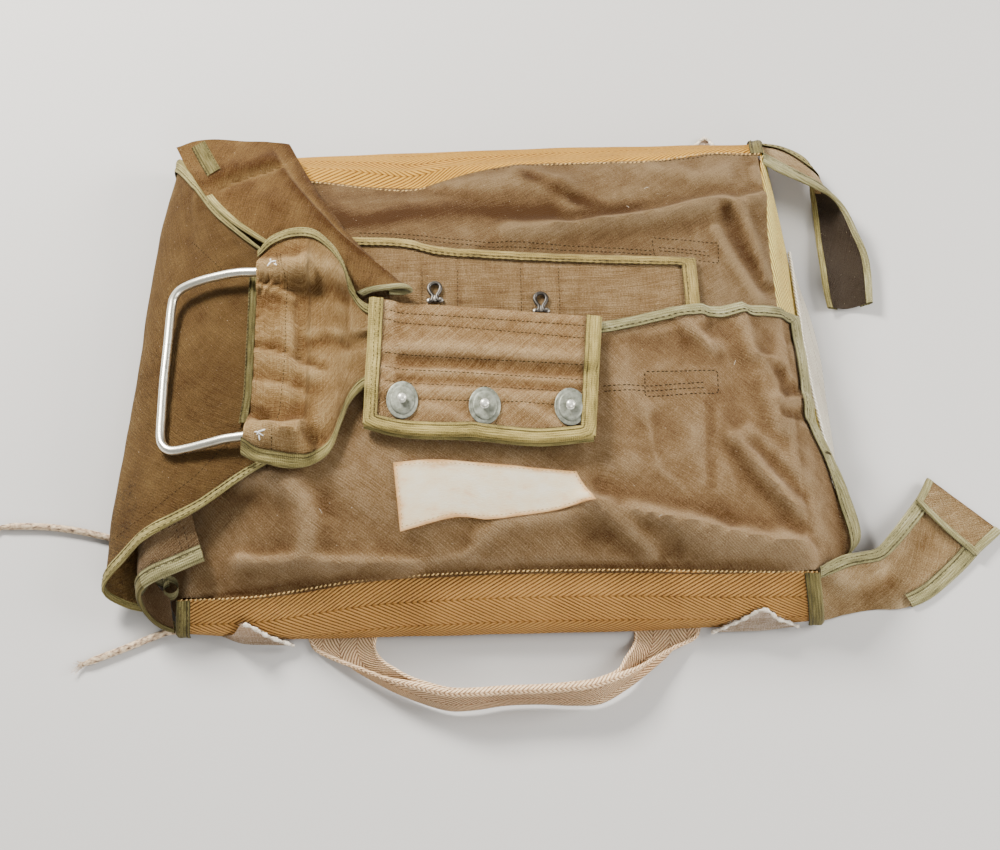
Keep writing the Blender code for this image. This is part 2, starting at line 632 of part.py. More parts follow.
def seated(points, radius, below):
    """A rigid line of points, lifted as one until a rod along it clears what lies below."""
    points = np.array(points, float)
    ground = together(below)[1]
    lift = -HIGH
    for point in points:
        for angle in np.arange(0, 2 * math.pi, math.pi / 6):
            for share in (0.0, 0.5, 0.9):
                reach = radius * share
                height = height_at(ground, point[0] + reach * math.cos(angle),
                                   point[1] + reach * math.sin(angle))
                if height is not None:
                    drop = radius * math.sqrt(1 - share ** 2)
                    lift = max(lift, height + GAP + drop - point[2])
    points[:, 2] += lift
    return points


handle_line = along(HANDLE_PATH, np.linspace(0, 1, 44))
handle_line = seated(handle_line, ROD, ["left_flap", "left_flap_back_binding", "corner_flap"])
tube("ripcord_handle", handle_line, ROD, "steel", sides=3)

# ---------------------------------------------------------------- handle pocket

POCKET_GATHERS = (
    Fold(-152, 28, -118, 22, 5, 2.5), Fold(-152, 8, -120, 2, 5, 2.0),
    Fold(-153, -14, -108, -26, 5, 3.0), Fold(-154, -40, -110, -46, 5, 2.2),
)
pocket = patch(front=((-159, -82), (-148, -89), (-131, -92), (-115, -91), (-103, -83), (-96, -66),
                      (-89, -50), (-79, -41), (-64, -39)),
               back=((-149, 67), (-140, 74), (-125, 76.5), (-110, 72), (-99, 60), (-92, 46),
                     (-87, 30), (-78, 18), (-64, 14)),
               left=((-159, -82), (-153, -38), (-151, 12), (-149, 67)),
               right=((-64, -39), (-64, 14)), rows=11, columns=13, sides=(BINDING, BINDING))
pocket = settle(spread(pocket, POCKET_GATHERS, 6.0),
                ["pack_body", "back_flap", "front_flap", "hook_panel", "left_flap",
                 "left_flap_front_binding", "left_flap_back_binding", "corner_flap",
                 "corner_flap_binding", "ripcord_handle"], LAID)
slab("handle_pocket", pocket, LINEN, "linen")
slab("pocket_back_binding", pocket, TAPE, "binding", OVER_LINEN, border(pocket, "high"))
slab("pocket_front_binding", pocket, TAPE, "binding", OVER_LINEN, border(pocket, "low"))

# ---------------------------------------------------------------- cover flap and its studs

COVER_SAG = (Fold(-72, -18, 72, -29, 6, -1.6),)
UNDER_COVER = ["front_flap", "front_flap_binding", "back_flap", "hook_panel",
               "handle_pocket", "pocket_back_binding", "pocket_front_binding", "pack_body"]


def make_cover(name, below, lift, grow):
    """One ply of the cover flap; the lower ply stands proud at the front by `grow`."""
    grid = patch(front=((-81, -68 - grow), (-54, -76 - grow), (-10, -80 - grow),
                        (30, -85 - grow), (65, -83 - grow)),
                 back=((-75, 20.5), (74, 2)),
                 left=((-81, -68 - grow), (-75, 20.5)), right=((65, -83 - grow), (74, 2)),
                 rows=10, columns=7, ends=(BINDING, BINDING), sides=(BINDING, 0))
    grid = settle(spread(grid, COVER_SAG, lift), below, LINEN / 2 + GAP + 0.25)
    slab(name, grid, LINEN, "linen")
    return grid


make_cover("cover_flap_lower", UNDER_COVER, 6.0, 2.5)
cover = make_cover("cover_flap_upper", ["cover_flap_lower"], 8.0, 0.0)
slab("cover_flap_binding", cover, TAPE, "binding", OVER_LINEN, border(cover, "start", "end", "low"))

STUD_PLACES = {"snap_stud_left": (-56, -53), "snap_stud_middle": (-3.5, -59.5),
               "snap_stud_right": (51, -62)}
PLATE_TALL = 1.28       # the plate is an oval, this much taller than wide
# radius and height of each ring of a stud: flange, raised disc, neck, ball
STUD_RINGS = ((9.6, 0.0), (10.2, 0.5), (9.8, 1.1), (8.3, 1.4), (7.9, 2.2), (7.0, 2.5),
              (3.1, 2.4), (1.7, 2.6), (1.5, 3.6), (2.3, 4.4), (2.4, 5.2), (1.6, 6.2), (0.6, 6.6))
STUD_SIDES = 16


def surface_plane(x, y, reach, below):
    """Place, normal and clearance of the cloth under a small plate."""
    ground = together(below)[1]
    spots = []
    for ring in (0.0, 0.35, 0.7, 1.0):
        for angle in np.arange(0, 2 * math.pi, math.pi / 8):
            spot_x = x + ring * reach * math.cos(angle)
            spot_y = y + ring * reach * PLATE_TALL * math.sin(angle)
            height = height_at(ground, spot_x, spot_y)
            if height is not None:
                spots.append((spot_x, spot_y, height))
    spots = np.array(spots)
    slope = np.linalg.lstsq(np.column_stack([spots[:, 0] - x, spots[:, 1] - y,
                                             np.ones(len(spots))]), spots[:, 2], rcond=None)[0]
    normal = Vector((-slope[0], -slope[1], 1.0)).normalized()
    height = max(s[2] - slope[0] * (s[0] - x) - slope[1] * (s[1] - y) for s in spots)
    return Vector((x, y, height + GAP + 0.1)), normal


def make_stud(name, x, y):
    place, normal = surface_plane(x, y, STUD_RINGS[1][0],
                                  ["cover_flap_upper", "cover_flap_binding"])
    turn = Vector((0, 0, 1)).rotation_difference(normal)
    bm = bmesh.new()
    loops = []
    for radius, height in STUD_RINGS:
        tall = PLATE_TALL if radius > 5 else 1.0
        loop = []
        for k in range(STUD_SIDES):
            angle = 2 * math.pi * k / STUD_SIDES
            spot = Vector((radius * math.cos(angle), radius * tall * math.sin(angle), height))
            loop.append(bm.verts.new((place + turn @ spot) * METRE))
        loops.append(loop)
    for low, high in zip(loops, loops[1:]):
        for k in range(STUD_SIDES):
            n = (k + 1) % STUD_SIDES
            bm.faces.new((low[k], low[n], high[n], high[k]))
    bm.faces.new(loops[0][::-1])
    bm.faces.new(loops[-1])
    mesh_object(name, bm, "zinc")


for stud, (stud_x, stud_y) in STUD_PLACES.items():
    make_stud(stud, stud_x, stud_y)

# ---------------------------------------------------------------- hooks on the panel

HOOK_PLACES = {"panel_hook_left": (-33, 28), "panel_hook_right": (36, 17)}
HOOK_WIRE = 1.0
# a bent wire eye with its two feet turned out, in its own plane
HOOK_PATH = ((4.0, -7.2), (2.6, -7.4), (1.6, -5.8), (1.5, -3.4), (3.0, -0.8), (3.9, 2.2), (2.9, 5.0),
             (0.0, 6.3), (-2.9, 5.0), (-3.9, 2.2), (-3.0, -0.8), (-1.5, -3.4), (-1.6, -5.8),
             (-2.6, -7.4), (-4.0, -7.2))
for hook, (hook_x, hook_y) in HOOK_PLACES.items():
    place, normal = surface_plane(hook_x, hook_y, 6.5, ["hook_panel"])
    turn = Vector((0, 0, 1)).rotation_difference(normal)
    line = [place + turn @ Vector((px, py, HOOK_WIRE)) for px, py in HOOK_PATH]
    tube(hook, along(line, np.linspace(0, 1, 24)), HOOK_WIRE, "zinc", sides=1)

# ---------------------------------------------------------------- strap beside the right wall

SIDE_STRAP = (
    ((232, -100, 2.2), (229, -100, 9)), ((232.5, -79, 2), (228, -79, 13)),
    ((233, -50, 1.9), (225.5, -50, 16)), ((233.5, -9, 1.9), (222.5, -9, 16.5)),
    ((231, 19, 1.9), (221, 19, 15.5)), ((226.5, 48, 1.9), (218.5, 48, 14)),
    ((221, 70, 2), (216.5, 70, 12)), ((217.5, 88, 2.2), (215.5, 88, 9)),
)
side_strap = loft(SIDE_STRAP, 12, 2)
side_strap = settle(side_strap, ["right_wall"], WEBBING / 2 + GAP + 0.1, (1, 0, 0))
slab("side_strap", side_strap, WEBBING, "white_webbing")

# ---------------------------------------------------------------- right hand ears

EAR_FRONT_RIGHT = (
    ((209.6, -184.5, 3.2), (207.9, -177, 19), (205, -161, 38.5)),
    ((226, -181, 2.6), (225, -171, 17), (221, -153, 35)),
    ((244, -178, 2.2), (238, -165, 14), (233, -149, 30)),
    ((262, -177, 2.0), (254, -162, 10), (246, -144, 24)),
    ((279, -171, 2.0), (268, -153, 7), (256, -133, 19)),
    ((293, -161, 2.0), (280, -140, 5), (267, -119, 14)),
    ((307, -149, 2.0), (292, -127, 3.5), (277, -106, 9)),
    ((318, -138, 2.0), (301, -116, 2.5), (283, -97, 6)),
    ((331, -127, 1.8), (309, -106, 2.0), (288, -88, 4)),
)
EAR_BACK_RIGHT = (
    ((201.4, 147, 38.5), (202.2, 164, 27), (202.4, 179.5, 9)),
    ((211, 140, 35.5), (215, 161, 23), (217, 176.5, 9)),
    ((224, 136, 30), (229, 154, 18), (231, 166, 11)),
    ((236, 132, 25), (240, 149, 13), (236, 158, 5)),
    ((247, 127, 21), (245, 139, 9), (235, 146, 3.5)),
    ((256, 117, 17), (249, 127, 5), (235, 130, 3.5)),
    ((262, 101, 13), (248, 106, 3.2), (235, 111, 4)),
    ((267, 85, 10), (250, 86, 2.4), (235, 88, 5.5)),
    ((268, 66, 8), (251, 65, 2.0), (235, 64, 7)),
    ((267, 48, 7), (251, 46.5, 2.0), (237, 46, 7)),
)
HEM = 23.0              # depth of the turned end of an ear

front_right_ear = loft(EAR_FRONT_RIGHT, 12, 3, ends=(0, HEM), sides=(BINDING, BINDING))
front_right_ear = settle(front_right_ear, ["pack_body", "front_flap", "front_flap_binding",
                                           "right_wall", "side_strap"], LAID, (0.25, -0.75, 0.6))
slab("ear_front_right", front_right_ear, CANVAS, "canvas")
slab("ear_front_right_low_binding", front_right_ear, TAPE, "binding", OVER_CANVAS,
     border(front_right_ear, "low"))
slab("ear_front_right_high_binding", front_right_ear, TAPE, "binding", OVER_CANVAS,
     border(front_right_ear, "high"))
back_right_ear = loft(EAR_BACK_RIGHT, 15, 4, sides=(BINDING, 0))
back_right_ear = settle(back_right_ear, ["pack_body", "right_wall"], LAID, (1, 0, 0))
slab("ear_back_right", back_right_ear, CANVAS, "canvas")
slab("ear_back_right_binding", back_right_ear, TAPE, "binding", OVER_CANVAS,
     border(back_right_ear, "low"))

# ---------------------------------------------------------------- white webbing

# The carrying handle is one length of webbing, flat where it leaves the pack and folded
# lengthwise between: outer edge, outer foot, inner foot, inner edge.
CARRY_HANDLE = (
    ((-121, -182, 1.6), (-107, -182, 1.6), (-93, -182, 1.6), (-79, -182, 1.6)),
    ((-117, -190, 1.7), (-106, -190.5, 1.6), (-92, -191, 1.6), (-80, -191, 1.8)),
    ((-104, -199, 6), (-97, -203, 1.5), (-86, -205, 1.8), (-75, -202, 9)),
    ((-86, -209, 11), (-84, -213, 1.5), (-76, -213, 1.6), (-66, -211, 15)),
    ((-64, -221, 17), (-64, -225, 1.5), (-60, -222, 1.6), (-55, -219, 19)),
    ((-38, -231, 21), (-37, -236, 1.5), (-35, -232.5, 1.5), (-34, -227, 21)),
    ((-18, -232.5, 22), (-18, -237, 1.5), (-18, -233.5, 1.5), (-18, -228.6, 22)),
    ((2, -231.8, 21.5), (2, -234.8, 1.5), (2, -230.8, 1.5), (2, -227.8, 21.5)),
    ((24, -231.8, 21.5), (24, -234.8, 1.5), (24, -230.8, 1.5), (24, -227.8, 21.5)),
    ((44, -231.6, 22), (45, -236.5, 1.5), (44, -232.3, 1.5), (43, -227.2, 22)),
    ((62, -229.5, 22), (64, -236, 1.5), (61.5, -231.8, 1.5), (58.5, -225.3, 21)),
    ((82, -220, 18), (82, -226, 1.5), (78, -224, 1.5), (74, -219, 19)),
    ((98, -209, 12), (97, -215, 1.5), (89, -213, 1.6), (80, -209, 14)),
    ((112, -200, 7), (109, -204, 1.5), (98, -205, 1.8), (85.5, -200, 9)),
    ((126, -191.5, 1.8), (116, -192, 1.6), (101, -192.5, 1.6), (88, -192, 1.8)),
    ((130, -183, 1.6), (116, -183, 1.6), (102, -183, 1.6), (89, -183, 1.6)),
)
carry_handle = loft(CARRY_HANDLE, 28)
slab("carry_handle", carry_handle[:, ::-1], 1.9, "white_webbing")

# Strap ends: lower edge and upper edge of a corner that shows beside each wall.
STRAP_CORNERS = {
    "strap_corner_left": (((-177, -180, 3), (-177, -180, 5)), ((-169, -184, 3), (-169, -183, 14)),
                          ((-161, -186, 3), (-161, -180, 24)), ((-147, -187, 3), (-147, -184, 13)),
                          ((-131, -188, 3), (-131, -188, 5))),
    "strap_corner_right": (((137, -190, 3), (137, -190, 5)), ((152, -190, 3), (152, -187, 14)),
                           ((169, -190, 3), (169, -182, 24)), ((181, -189, 3), (181, -185, 13)),
                           ((193, -188, 3), (193, -188, 5))),
}
for strap, sections in STRAP_CORNERS.items():
    corner = loft(sections, 6, 2)
    corner = settle(corner, ["front_wall"], WEBBING / 2 + GAP + 0.1, (0, -1, 0))
    slab(strap, corner, WEBBING, "white_webbing")

BACK_STRAP = (((150, 176, 1.6), (151, 179, 1.6)), ((157, 176, 1.6), (158, 187, 2.2)),
              ((163, 176, 1.6), (164, 191, 2.6)), ((168, 176, 1.6), (169, 185, 2.2)),
              ((174, 176, 1.6), (173, 179, 1.6)))
slab("strap_corner_back", loft(BACK_STRAP, 4, 1), WEBBING, "white_webbing")

# ---------------------------------------------------------------- cords

CORDS = {
    "cord_upper": ((-215, -124, 2.7), (-224, -117, 2.6), (-238, -111, 2.5), (-254, -105.6, 2.5),
                   (-272, -100.6, 2.5), (-292, -96.8, 2.5), (-312, -95.3, 2.5), (-324, -95.6, 2.5)),
    "cord_lower": ((-206.8, -173.7, 2.6), (-213, -174.2, 2.5), (-222, -177.4, 2.5), (-232, -181.3, 2.5),
                   (-243, -185.6, 2.5), (-255, -190, 2.5), (-266, -194.2, 2.5)),
}
CORD_STEP = 6.0
for cord, route in CORDS.items():
    steps = round(edge_length([np.array(p, float) for p in route]) / CORD_STEP)
    tube(cord, along(route, np.linspace(0, 1, steps + 1)), CORD, "cord_yarn")
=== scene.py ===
import math
import random
from collections import namedtuple

import bmesh
import bpy
import numpy as np
from mathutils import Matrix, Vector, noise
from mathutils.bvhtree import BVHTree


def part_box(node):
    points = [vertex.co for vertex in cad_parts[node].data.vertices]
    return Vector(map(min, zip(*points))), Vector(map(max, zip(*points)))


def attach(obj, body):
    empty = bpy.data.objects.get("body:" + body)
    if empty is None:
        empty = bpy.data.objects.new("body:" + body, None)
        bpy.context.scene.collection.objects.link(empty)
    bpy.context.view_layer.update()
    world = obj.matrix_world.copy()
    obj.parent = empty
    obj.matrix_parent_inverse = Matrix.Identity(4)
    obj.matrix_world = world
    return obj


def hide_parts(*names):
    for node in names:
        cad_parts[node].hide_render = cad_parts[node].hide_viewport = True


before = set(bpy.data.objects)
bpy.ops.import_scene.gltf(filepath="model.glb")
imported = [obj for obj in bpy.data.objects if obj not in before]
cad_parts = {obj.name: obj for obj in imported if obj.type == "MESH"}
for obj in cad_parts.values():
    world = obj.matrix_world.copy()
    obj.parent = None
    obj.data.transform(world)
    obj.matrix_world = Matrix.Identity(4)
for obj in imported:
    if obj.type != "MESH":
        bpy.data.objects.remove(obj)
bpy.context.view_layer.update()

MM = 0.001              # every table below is in millimetres

# ------------ camera
# The camera looks down at the pack lying on its back, from a little to the left of its
# long axis, the whole pack in the middle.
CAMERA_HEIGHT = math.radians(63)
CAMERA_SIDE = math.radians(-2.35)
CAMERA_FAR = 1.52
LOOKED_AT = Vector((0.0067, -0.0475, 0.030))

camera = bpy.data.objects.new("camera", bpy.data.cameras.new("camera"))
toward_camera = Vector((math.cos(CAMERA_HEIGHT) * math.sin(CAMERA_SIDE),
                        -math.cos(CAMERA_HEIGHT) * math.cos(CAMERA_SIDE),
                        math.sin(CAMERA_HEIGHT)))
camera.location = LOOKED_AT + toward_camera * CAMERA_FAR
camera.rotation_mode = "QUATERNION"
camera.rotation_quaternion = toward_camera.to_track_quat("Z", "Y")
camera.data.sensor_width = 36
camera.data.lens = 82.94
camera.data.dof.use_dof = False
bpy.context.collection.objects.link(camera)
bpy.context.scene.camera = camera

# ------------ cords
# Two short round cords of braided off-white yarn with dark flecks come out from under the
# left flap and the front left corner.  Each was cut off and its end has gone fuzzy.
CORD_THICK = 4.6
CORD_TAPER = 12         # the last rings, which narrow to the cut
FRAYED_STRANDS = 26
CORD_ROUTES = {
    "cord_upper": ((-215, -124, 2.7), (-224, -117, 2.6), (-238, -111, 2.5), (-254, -105.6, 2.5),
                   (-272, -100.6, 2.5), (-292, -96.8, 2.5), (-312, -95.3, 2.5),
                   (-324, -95.6, 2.5)),
    "cord_lower": ((-206.8, -173.7, 2.6), (-213, -174.2, 2.5), (-222, -177.4, 2.5),
                   (-232, -181.3, 2.5), (-243, -185.6, 2.5), (-255, -190, 2.5),
                   (-266, -194.2, 2.5)),
}


def smooth_curve(points, steps=10):
    """A Catmull-Rom curve through the points, as a dense line."""
    points = np.array(points, float)
    if len(points) < 3:
        return points
    padded = np.vstack([2 * points[0] - points[1], points, 2 * points[-1] - points[-2]])
    dense = []
    for before, start, end, after in zip(padded, padded[1:], padded[2:], padded[3:]):
        t = (np.arange(steps) / steps)[:, None]
        dense.append(0.5 * (2 * start + (end - before) * t
                            + (2 * before - 5 * start + 4 * end - after) * t ** 2
                            + (3 * start - before - 3 * end + after) * t ** 3))
    return np.vstack(dense + [points[-1:]])


def length_of(points):
    return float(np.linalg.norm(np.diff(smooth_curve(points), axis=0), axis=1).sum())


def run_of(points):
    """How far along a line each of its points lies."""
    return np.concatenate([[0.0], np.cumsum(np.linalg.norm(np.diff(points, axis=0), axis=1))])


def at_marks(points, marks):
    """Points of a line at the given distances along it."""
    travelled = run_of(points)
    return np.stack([np.interp(marks, travelled, axis) for axis in points.T], axis=-1)


def along(points, fractions):
    """Points at the given fractions of a curve's length."""
    dense = smooth_curve(points)
    return at_marks(dense, np.asarray(fractions) * run_of(dense)[-1])


def unit(vectors):
    return vectors / np.maximum(np.linalg.norm(vectors, axis=-1, keepdims=True), 1e-9)


def woven(grid, uv, thick=0.0, normal=None, wear_and_shade=None):
    """A bmesh on a grid of points, with its own UV map in mm; `thick` makes it a closed sheet."""
    rows, columns = grid.shape[0] - 1, grid.shape[1] - 1
    bm = bmesh.new()
    bmesh.ops.create_grid(bm, x_segments=rows, y_segments=columns, size=0.5)
    row_of, column_of = bm.verts.layers.int.new("row"), bm.verts.layers.int.new("column")
    for vert in bm.verts:
        vert[row_of] = round((vert.co.x + 0.5) * rows)
        vert[column_of] = round((vert.co.y + 0.5) * columns)
    raised = set()
    if thick:
        made = bmesh.ops.extrude_face_region(bm, geom=list(bm.faces))["geom"]
        raised = {v for v in made if isinstance(v, bmesh.types.BMVert)}
    # Each point's crest and hollow value for the colour: partly wear and dirt, partly painted light
    # and shade.
    wear_and_shade_layer = bm.verts.layers.float.new("wear_and_shade")
    for vert in bm.verts:
        place = vert[row_of], vert[column_of]
        side = 0.5 * thick * (1 if vert in raised else -1)
        vert.co = Vector(grid[place] if normal is None else grid[place] + normal[place] * side) * MM
        vert[wear_and_shade_layer] = 0.0 if wear_and_shade is None else float(wear_and_shade[place])
    flat = bm.loops.layers.uv.new("weave")
    for face in bm.faces:
        for loop in face.loops:
            loop[flat].uv = uv[loop.vert[row_of], loop.vert[column_of]]
    return bm


surfaces = {}           # the finished pieces that others are laid on


def finished(name, bm, material, slot, *nodes, smooth=50):
    """Turn a bmesh into a piece that rides on the pack and stands for some CAD nodes."""
    bmesh.ops.recalc_face_normals(bm, faces=bm.faces)
    if bm.calc_volume(signed=True) < 0:
        bmesh.ops.reverse_faces(bm, faces=bm.faces)
    surfaces[name] = BVHTree.FromBMesh(bm)
    mesh = bpy.data.meshes.new(name)
    bm.to_mesh(mesh)
    bm.free()
    mesh.materials.append(material)
    mesh.shade_smooth()
    mesh.set_sharp_from_angle(angle=math.radians(smooth))
    piece = bpy.data.objects.new(name, mesh)
    bpy.context.collection.objects.link(piece)
    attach(piece, "root")
    if nodes:
        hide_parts(*nodes)
    return piece


def tube(line, radius, sides=16, relief=None):
    """A round closed tube along a line; `relief(mm along, share of the turn)` adds to it."""
    line = np.array(line, float)
    forward = unit(np.gradient(line, axis=0))
    side = unit(np.cross(forward[0], (0.13, 0.21, 1.0)))
    travelled = run_of(line)
    turn = np.linspace(0, 2 * math.pi, sides + 1)
    rings = []
    for k, (place, ahead) in enumerate(zip(line, forward)):
        side = unit(side - ahead * side.dot(ahead))
        across = np.cross(ahead, side)
        thick = np.broadcast_to(radius, len(line))[k] + np.zeros(sides + 1)
        if relief is not None:
            thick = thick + relief(travelled[k], turn / (2 * math.pi))
        rings.append(place + thick[:, None] * (np.cos(turn)[:, None] * side
                                               + np.sin(turn)[:, None] * across))
    girth = 2 * math.pi * float(np.mean(radius))
    uv = np.stack(np.meshgrid(travelled, np.linspace(0, girth, sides + 1), indexing="ij"), -1)
    bm = woven(np.array(rings), uv)
    bmesh.ops.remove_doubles(bm, verts=bm.verts, dist=1e-6)
    bmesh.ops.holes_fill(bm, edges=[e for e in bm.edges if e.is_boundary], sides=0)
    return bm


class Finish:
    """A new material: its Principled shader, and short ways to add nodes before it."""

    def __init__(self, name, roughness, sheen=0.0, metallic=0.0, specular=0.5):
        self.material = bpy.data.materials.new(name)
        self.material.use_nodes = True
        self.tree = self.material.node_tree
        self.surface = self.tree.nodes["Principled BSDF"]
        for socket, value in (("Roughness", roughness), ("Metallic", metallic),
                              ("Specular IOR Level", specular), ("Sheen Weight", sheen),
                              ("Sheen Roughness", 0.5)):
            self.surface.inputs[socket].default_value = value

    def add(self, kind, *values, **settings):
        """Add one node; each value goes to the socket in its place, as a link or a number."""
        made = self.tree.nodes.new("ShaderNode" + kind)
        for setting, value in settings.items():
            setattr(made, setting, value)
        for socket, value in zip([s for s in made.inputs if s.enabled], values):
            if isinstance(value, bpy.types.NodeSocket):
                self.tree.links.new(value, socket)
            elif value is not None:
                socket.default_value = value
        return next(s for s in made.outputs if s.enabled)

    def weave(self):
        return self.add("UVMap", uv_map="weave")

    def place(self):
        return self.tree.nodes.new("ShaderNodeTexCoord").outputs["Object"]

    def attribute(self, name):
        made = self.tree.nodes.new("ShaderNodeAttribute")
        made.attribute_name = name
        return made.outputs["Fac"]

    def parts(self, vector):
        made = self.tree.nodes.new("ShaderNodeSeparateXYZ")
        self.tree.links.new(vector, made.inputs[0])
        return made.outputs

    def specks(self, at, scale, detail, rough=0.5, stretch=None):
        """Noise, stretched along the weave where asked."""
        if stretch:
            at = self.add("Mapping", at, None, None, (*stretch, 1))
        return self.add("TexNoise", at, scale, detail, rough)

    def calc(self, operation, *values):
        return self.add("Math", *values, operation=operation)

    def wave(self, value, length):
        return self.calc("SINE", self.calc("MULTIPLY", value, 2 * math.pi / length))

    def raised(self, total, *parts):
        """A total with each value, times its weight, added to it."""
        for value, weight in parts:
            total = self.calc("MULTIPLY_ADD", value, weight, total)
        return total

    def mottled(self, total, *parts):
        """A total with each noise's distance from its middle, times its weight, added to it."""
        return self.raised(total, *((self.calc("SUBTRACT", value, 0.5), weight)
                                    for value, weight in parts))

    def ramp(self, factor, *stops):
        """Colours along a factor: (place, (r, g, b)) pairs."""
        made = self.tree.nodes.new("ShaderNodeValToRGB")
        elements = made.color_ramp.elements
        while len(elements) < len(stops):
            elements.new(0.5)
        for element, (place, colour) in zip(elements, stops):
            element.position = place
            element.color = (*colour, 1)
        self.tree.links.new(factor, made.inputs[0])
        return made.outputs[0]

    def done(self, colour, height=None, depth=0.0, rough=None):
        """Join the colour, a bump of `depth` mm and a roughness to the shader."""
        self.tree.links.new(colour, self.surface.inputs["Base Color"])
        if rough is not None:
            self.tree.links.new(rough, self.surface.inputs["Roughness"])
        if height is not None:
            bump = self.tree.nodes.new("ShaderNodeBump")
            bump.inputs["Strength"].default_value = 1.0
            bump.inputs["Distance"].default_value = depth * MM
            self.tree.links.new(height, bump.inputs["Height"])
            self.tree.links.new(bump.outputs["Normal"], self.surface.inputs["Normal"])
        return self.material


def braid_yarn():
    """Off-white braid, greyed in its hollows, with dark brown flecks and a few clean threads."""
    look = Finish("braid_yarn", 0.85, sheen=0.3)
    at = look.weave()
    flecks = look.specks(at, 1.0, 2.0, stretch=(0.32, 0.5))
    fine = look.specks(at, 2.2, 3.0)
    mixed = look.calc("ADD", look.calc("MULTIPLY", flecks, 0.75),
                      look.calc("MULTIPLY", fine, 0.25))
    return look.done(look.ramp(mixed, (0.36, (0.05, 0.028, 0.015)), (0.43, (0.26, 0.17, 0.10)),
                               (0.50, (0.43, 0.31, 0.19)), (0.66, (0.64, 0.52, 0.35))),
                     fine, 0.25)


def braid_relief(travelled, share):
    """Two sets of strands that cross on the diagonal."""
    left = np.abs(np.sin(math.pi * (travelled / 4.2 + share * 4)))
    right = np.abs(np.sin(math.pi * (travelled / 4.2 - share * 4)))
    return 0.30 * np.maximum(left, right) - 0.26


yarn = braid_yarn()
chance = random.Random(7)
for cord_name, route in CORD_ROUTES.items():
    line = along(route, np.linspace(0, 1, round(length_of(route) / 0.6) + 1))
    thick = np.full(len(line), CORD_THICK / 2)
    thick[-CORD_TAPER:] *= np.linspace(1, 0.62, CORD_TAPER)
    cord = finished(cord_name, tube(line, thick, 24, braid_relief), yarn, "cord_yarn", cord_name,
                    smooth=80)
    heading = unit(line[-1] - line[-8])
    strands = bmesh.new()
    for _ in range(FRAYED_STRANDS):
        start = line[-6] + np.array([0, chance.uniform(-1.3, 1.3), chance.uniform(-0.9, 1.0)])
        reach = chance.uniform(5, 10.5)
        swing = np.array([chance.uniform(-0.2, 0.2), chance.uniform(-0.55, 0.55),
                          chance.uniform(-0.05, 0.12)])
        thread = [start + (heading + swing * t) * reach * t for t in (0, 0.25, 0.5, 0.75, 1)]
        thread = [np.array([p[0], p[1], max(p[2], 0.35)]) for p in thread]
        wisp = tube(along(thread, np.linspace(0, 1, 7)), np.linspace(0.32, 0.1, 7), 5)
        mesh = bpy.data.meshes.new("wisp")
        wisp.to_mesh(mesh)
        wisp.free()
        strands.from_mesh(mesh)
        bpy.data.meshes.remove(mesh)
    tuft = finished(cord_name + "_frayed_end", strands, yarn, "cord_yarn", smooth=80)

# ------------ filled body
# A canvas tray packed tight with folded canopy and lines.  Little of it shows: the corner
# behind the walls, the long left side and the base that the pack rests on.
BODY_CANVAS = (0.150, 0.084, 0.032)
STRAY_YARN = (0.62, 0.50, 0.34, 1)


def canvas_cloth(name, middle, thread=1.5, slubs=0.26, mottling=0.44, ribs=0.032, right_side_light=0.75):
    """Coarse linen: ribs of uneven threads, a little mottling, crests paler and hollows darker from
    wear and painted shade, and the right side paler with painted light.
    """
    hollow = tuple(c * share for c, share in zip(middle, (0.40, 0.28, 0.15)))
    crest = tuple(min(c * share, 0.9) for c, share in zip(middle, (1.85, 2.15, 2.75)))
    look = Finish(name, 0.95, sheen=0.05, specular=0.18)
    at, place = look.weave(), look.place()
    drift, warp, weft = (look.specks(at, 1.0, 2.0, stretch=stretch)
                         for stretch in ((0.11, 0.11), (0.85, 0.05), (0.045, 0.62)))
    grain = look.specks(at, 0.95, 4.0, 0.75)
    u, v = look.parts(at)[:2]
    over = look.wave(look.raised(v, (drift, 1.6)), thread)
    under = look.wave(look.raised(u, (drift, 1.3)), thread * 0.8)
    total = look.mottled(0.5, (warp, slubs * 0.7), (weft, slubs * 1.2), (grain, 1.15),
                         (look.specks(place, 21.0, 5.0, 0.62), mottling),
                         (look.specks(place, 90.0, 3.0, 0.65), 0.34))
    # The crest and hollow value: paler crests and darker hollows, partly wear and dirt, partly
    # painted light and shade.
    # The object x term is painted light: the colour grows paler towards the right side of the pack.
    total = look.raised(total, (over, ribs), (under, ribs * 0.45),
                        (look.attribute("wear_and_shade"), 0.16), (look.parts(place)[0], right_side_light))
    colour = look.ramp(total, (0.13, hollow), (0.5, middle), (0.87, crest))
    stray = look.ramp(look.specks(at, 0.8, 1.0, stretch=(0.5, 1.1)), (0.745, (0, 0, 0)),
                      (0.78, (0.5, 0.5, 0.5)))
    pale = look.tree.nodes.new("ShaderNodeMix")
    pale.data_type = "RGBA"
    look.tree.links.new(stray, pale.inputs[0])
    look.tree.links.new(colour, pale.inputs[6])
    pale.inputs[7].default_value = STRAY_YARN
    threads = look.calc("MULTIPLY", look.calc("ADD", warp, weft), 0.6)
    return look.done(pale.outputs[2],
                     look.raised(threads, (over, 0.13), (under, 0.08), (grain, 1.0)), 0.7)


def box_flat(bm):
    """Lay each face's weave flat from the side that it faces, in mm."""
    flat = bm.loops.layers.uv.new("weave")
    for face in bm.faces:
        side = max(range(3), key=lambda axis: abs(face.normal[axis]))
        first, second = ((1, 2), (0, 2), (0, 1))[side]
        for loop in face.loops:
            loop[flat].uv = loop.vert.co[first] / MM, loop.vert.co[second] / MM


def back_hollow(x, y):
    """How far the filling has sunk behind the corner flap."""
    return 11.0 * np.exp(-((x + 62) / 62.0) ** 2 - ((y - 130) / 20.0) ** 2)


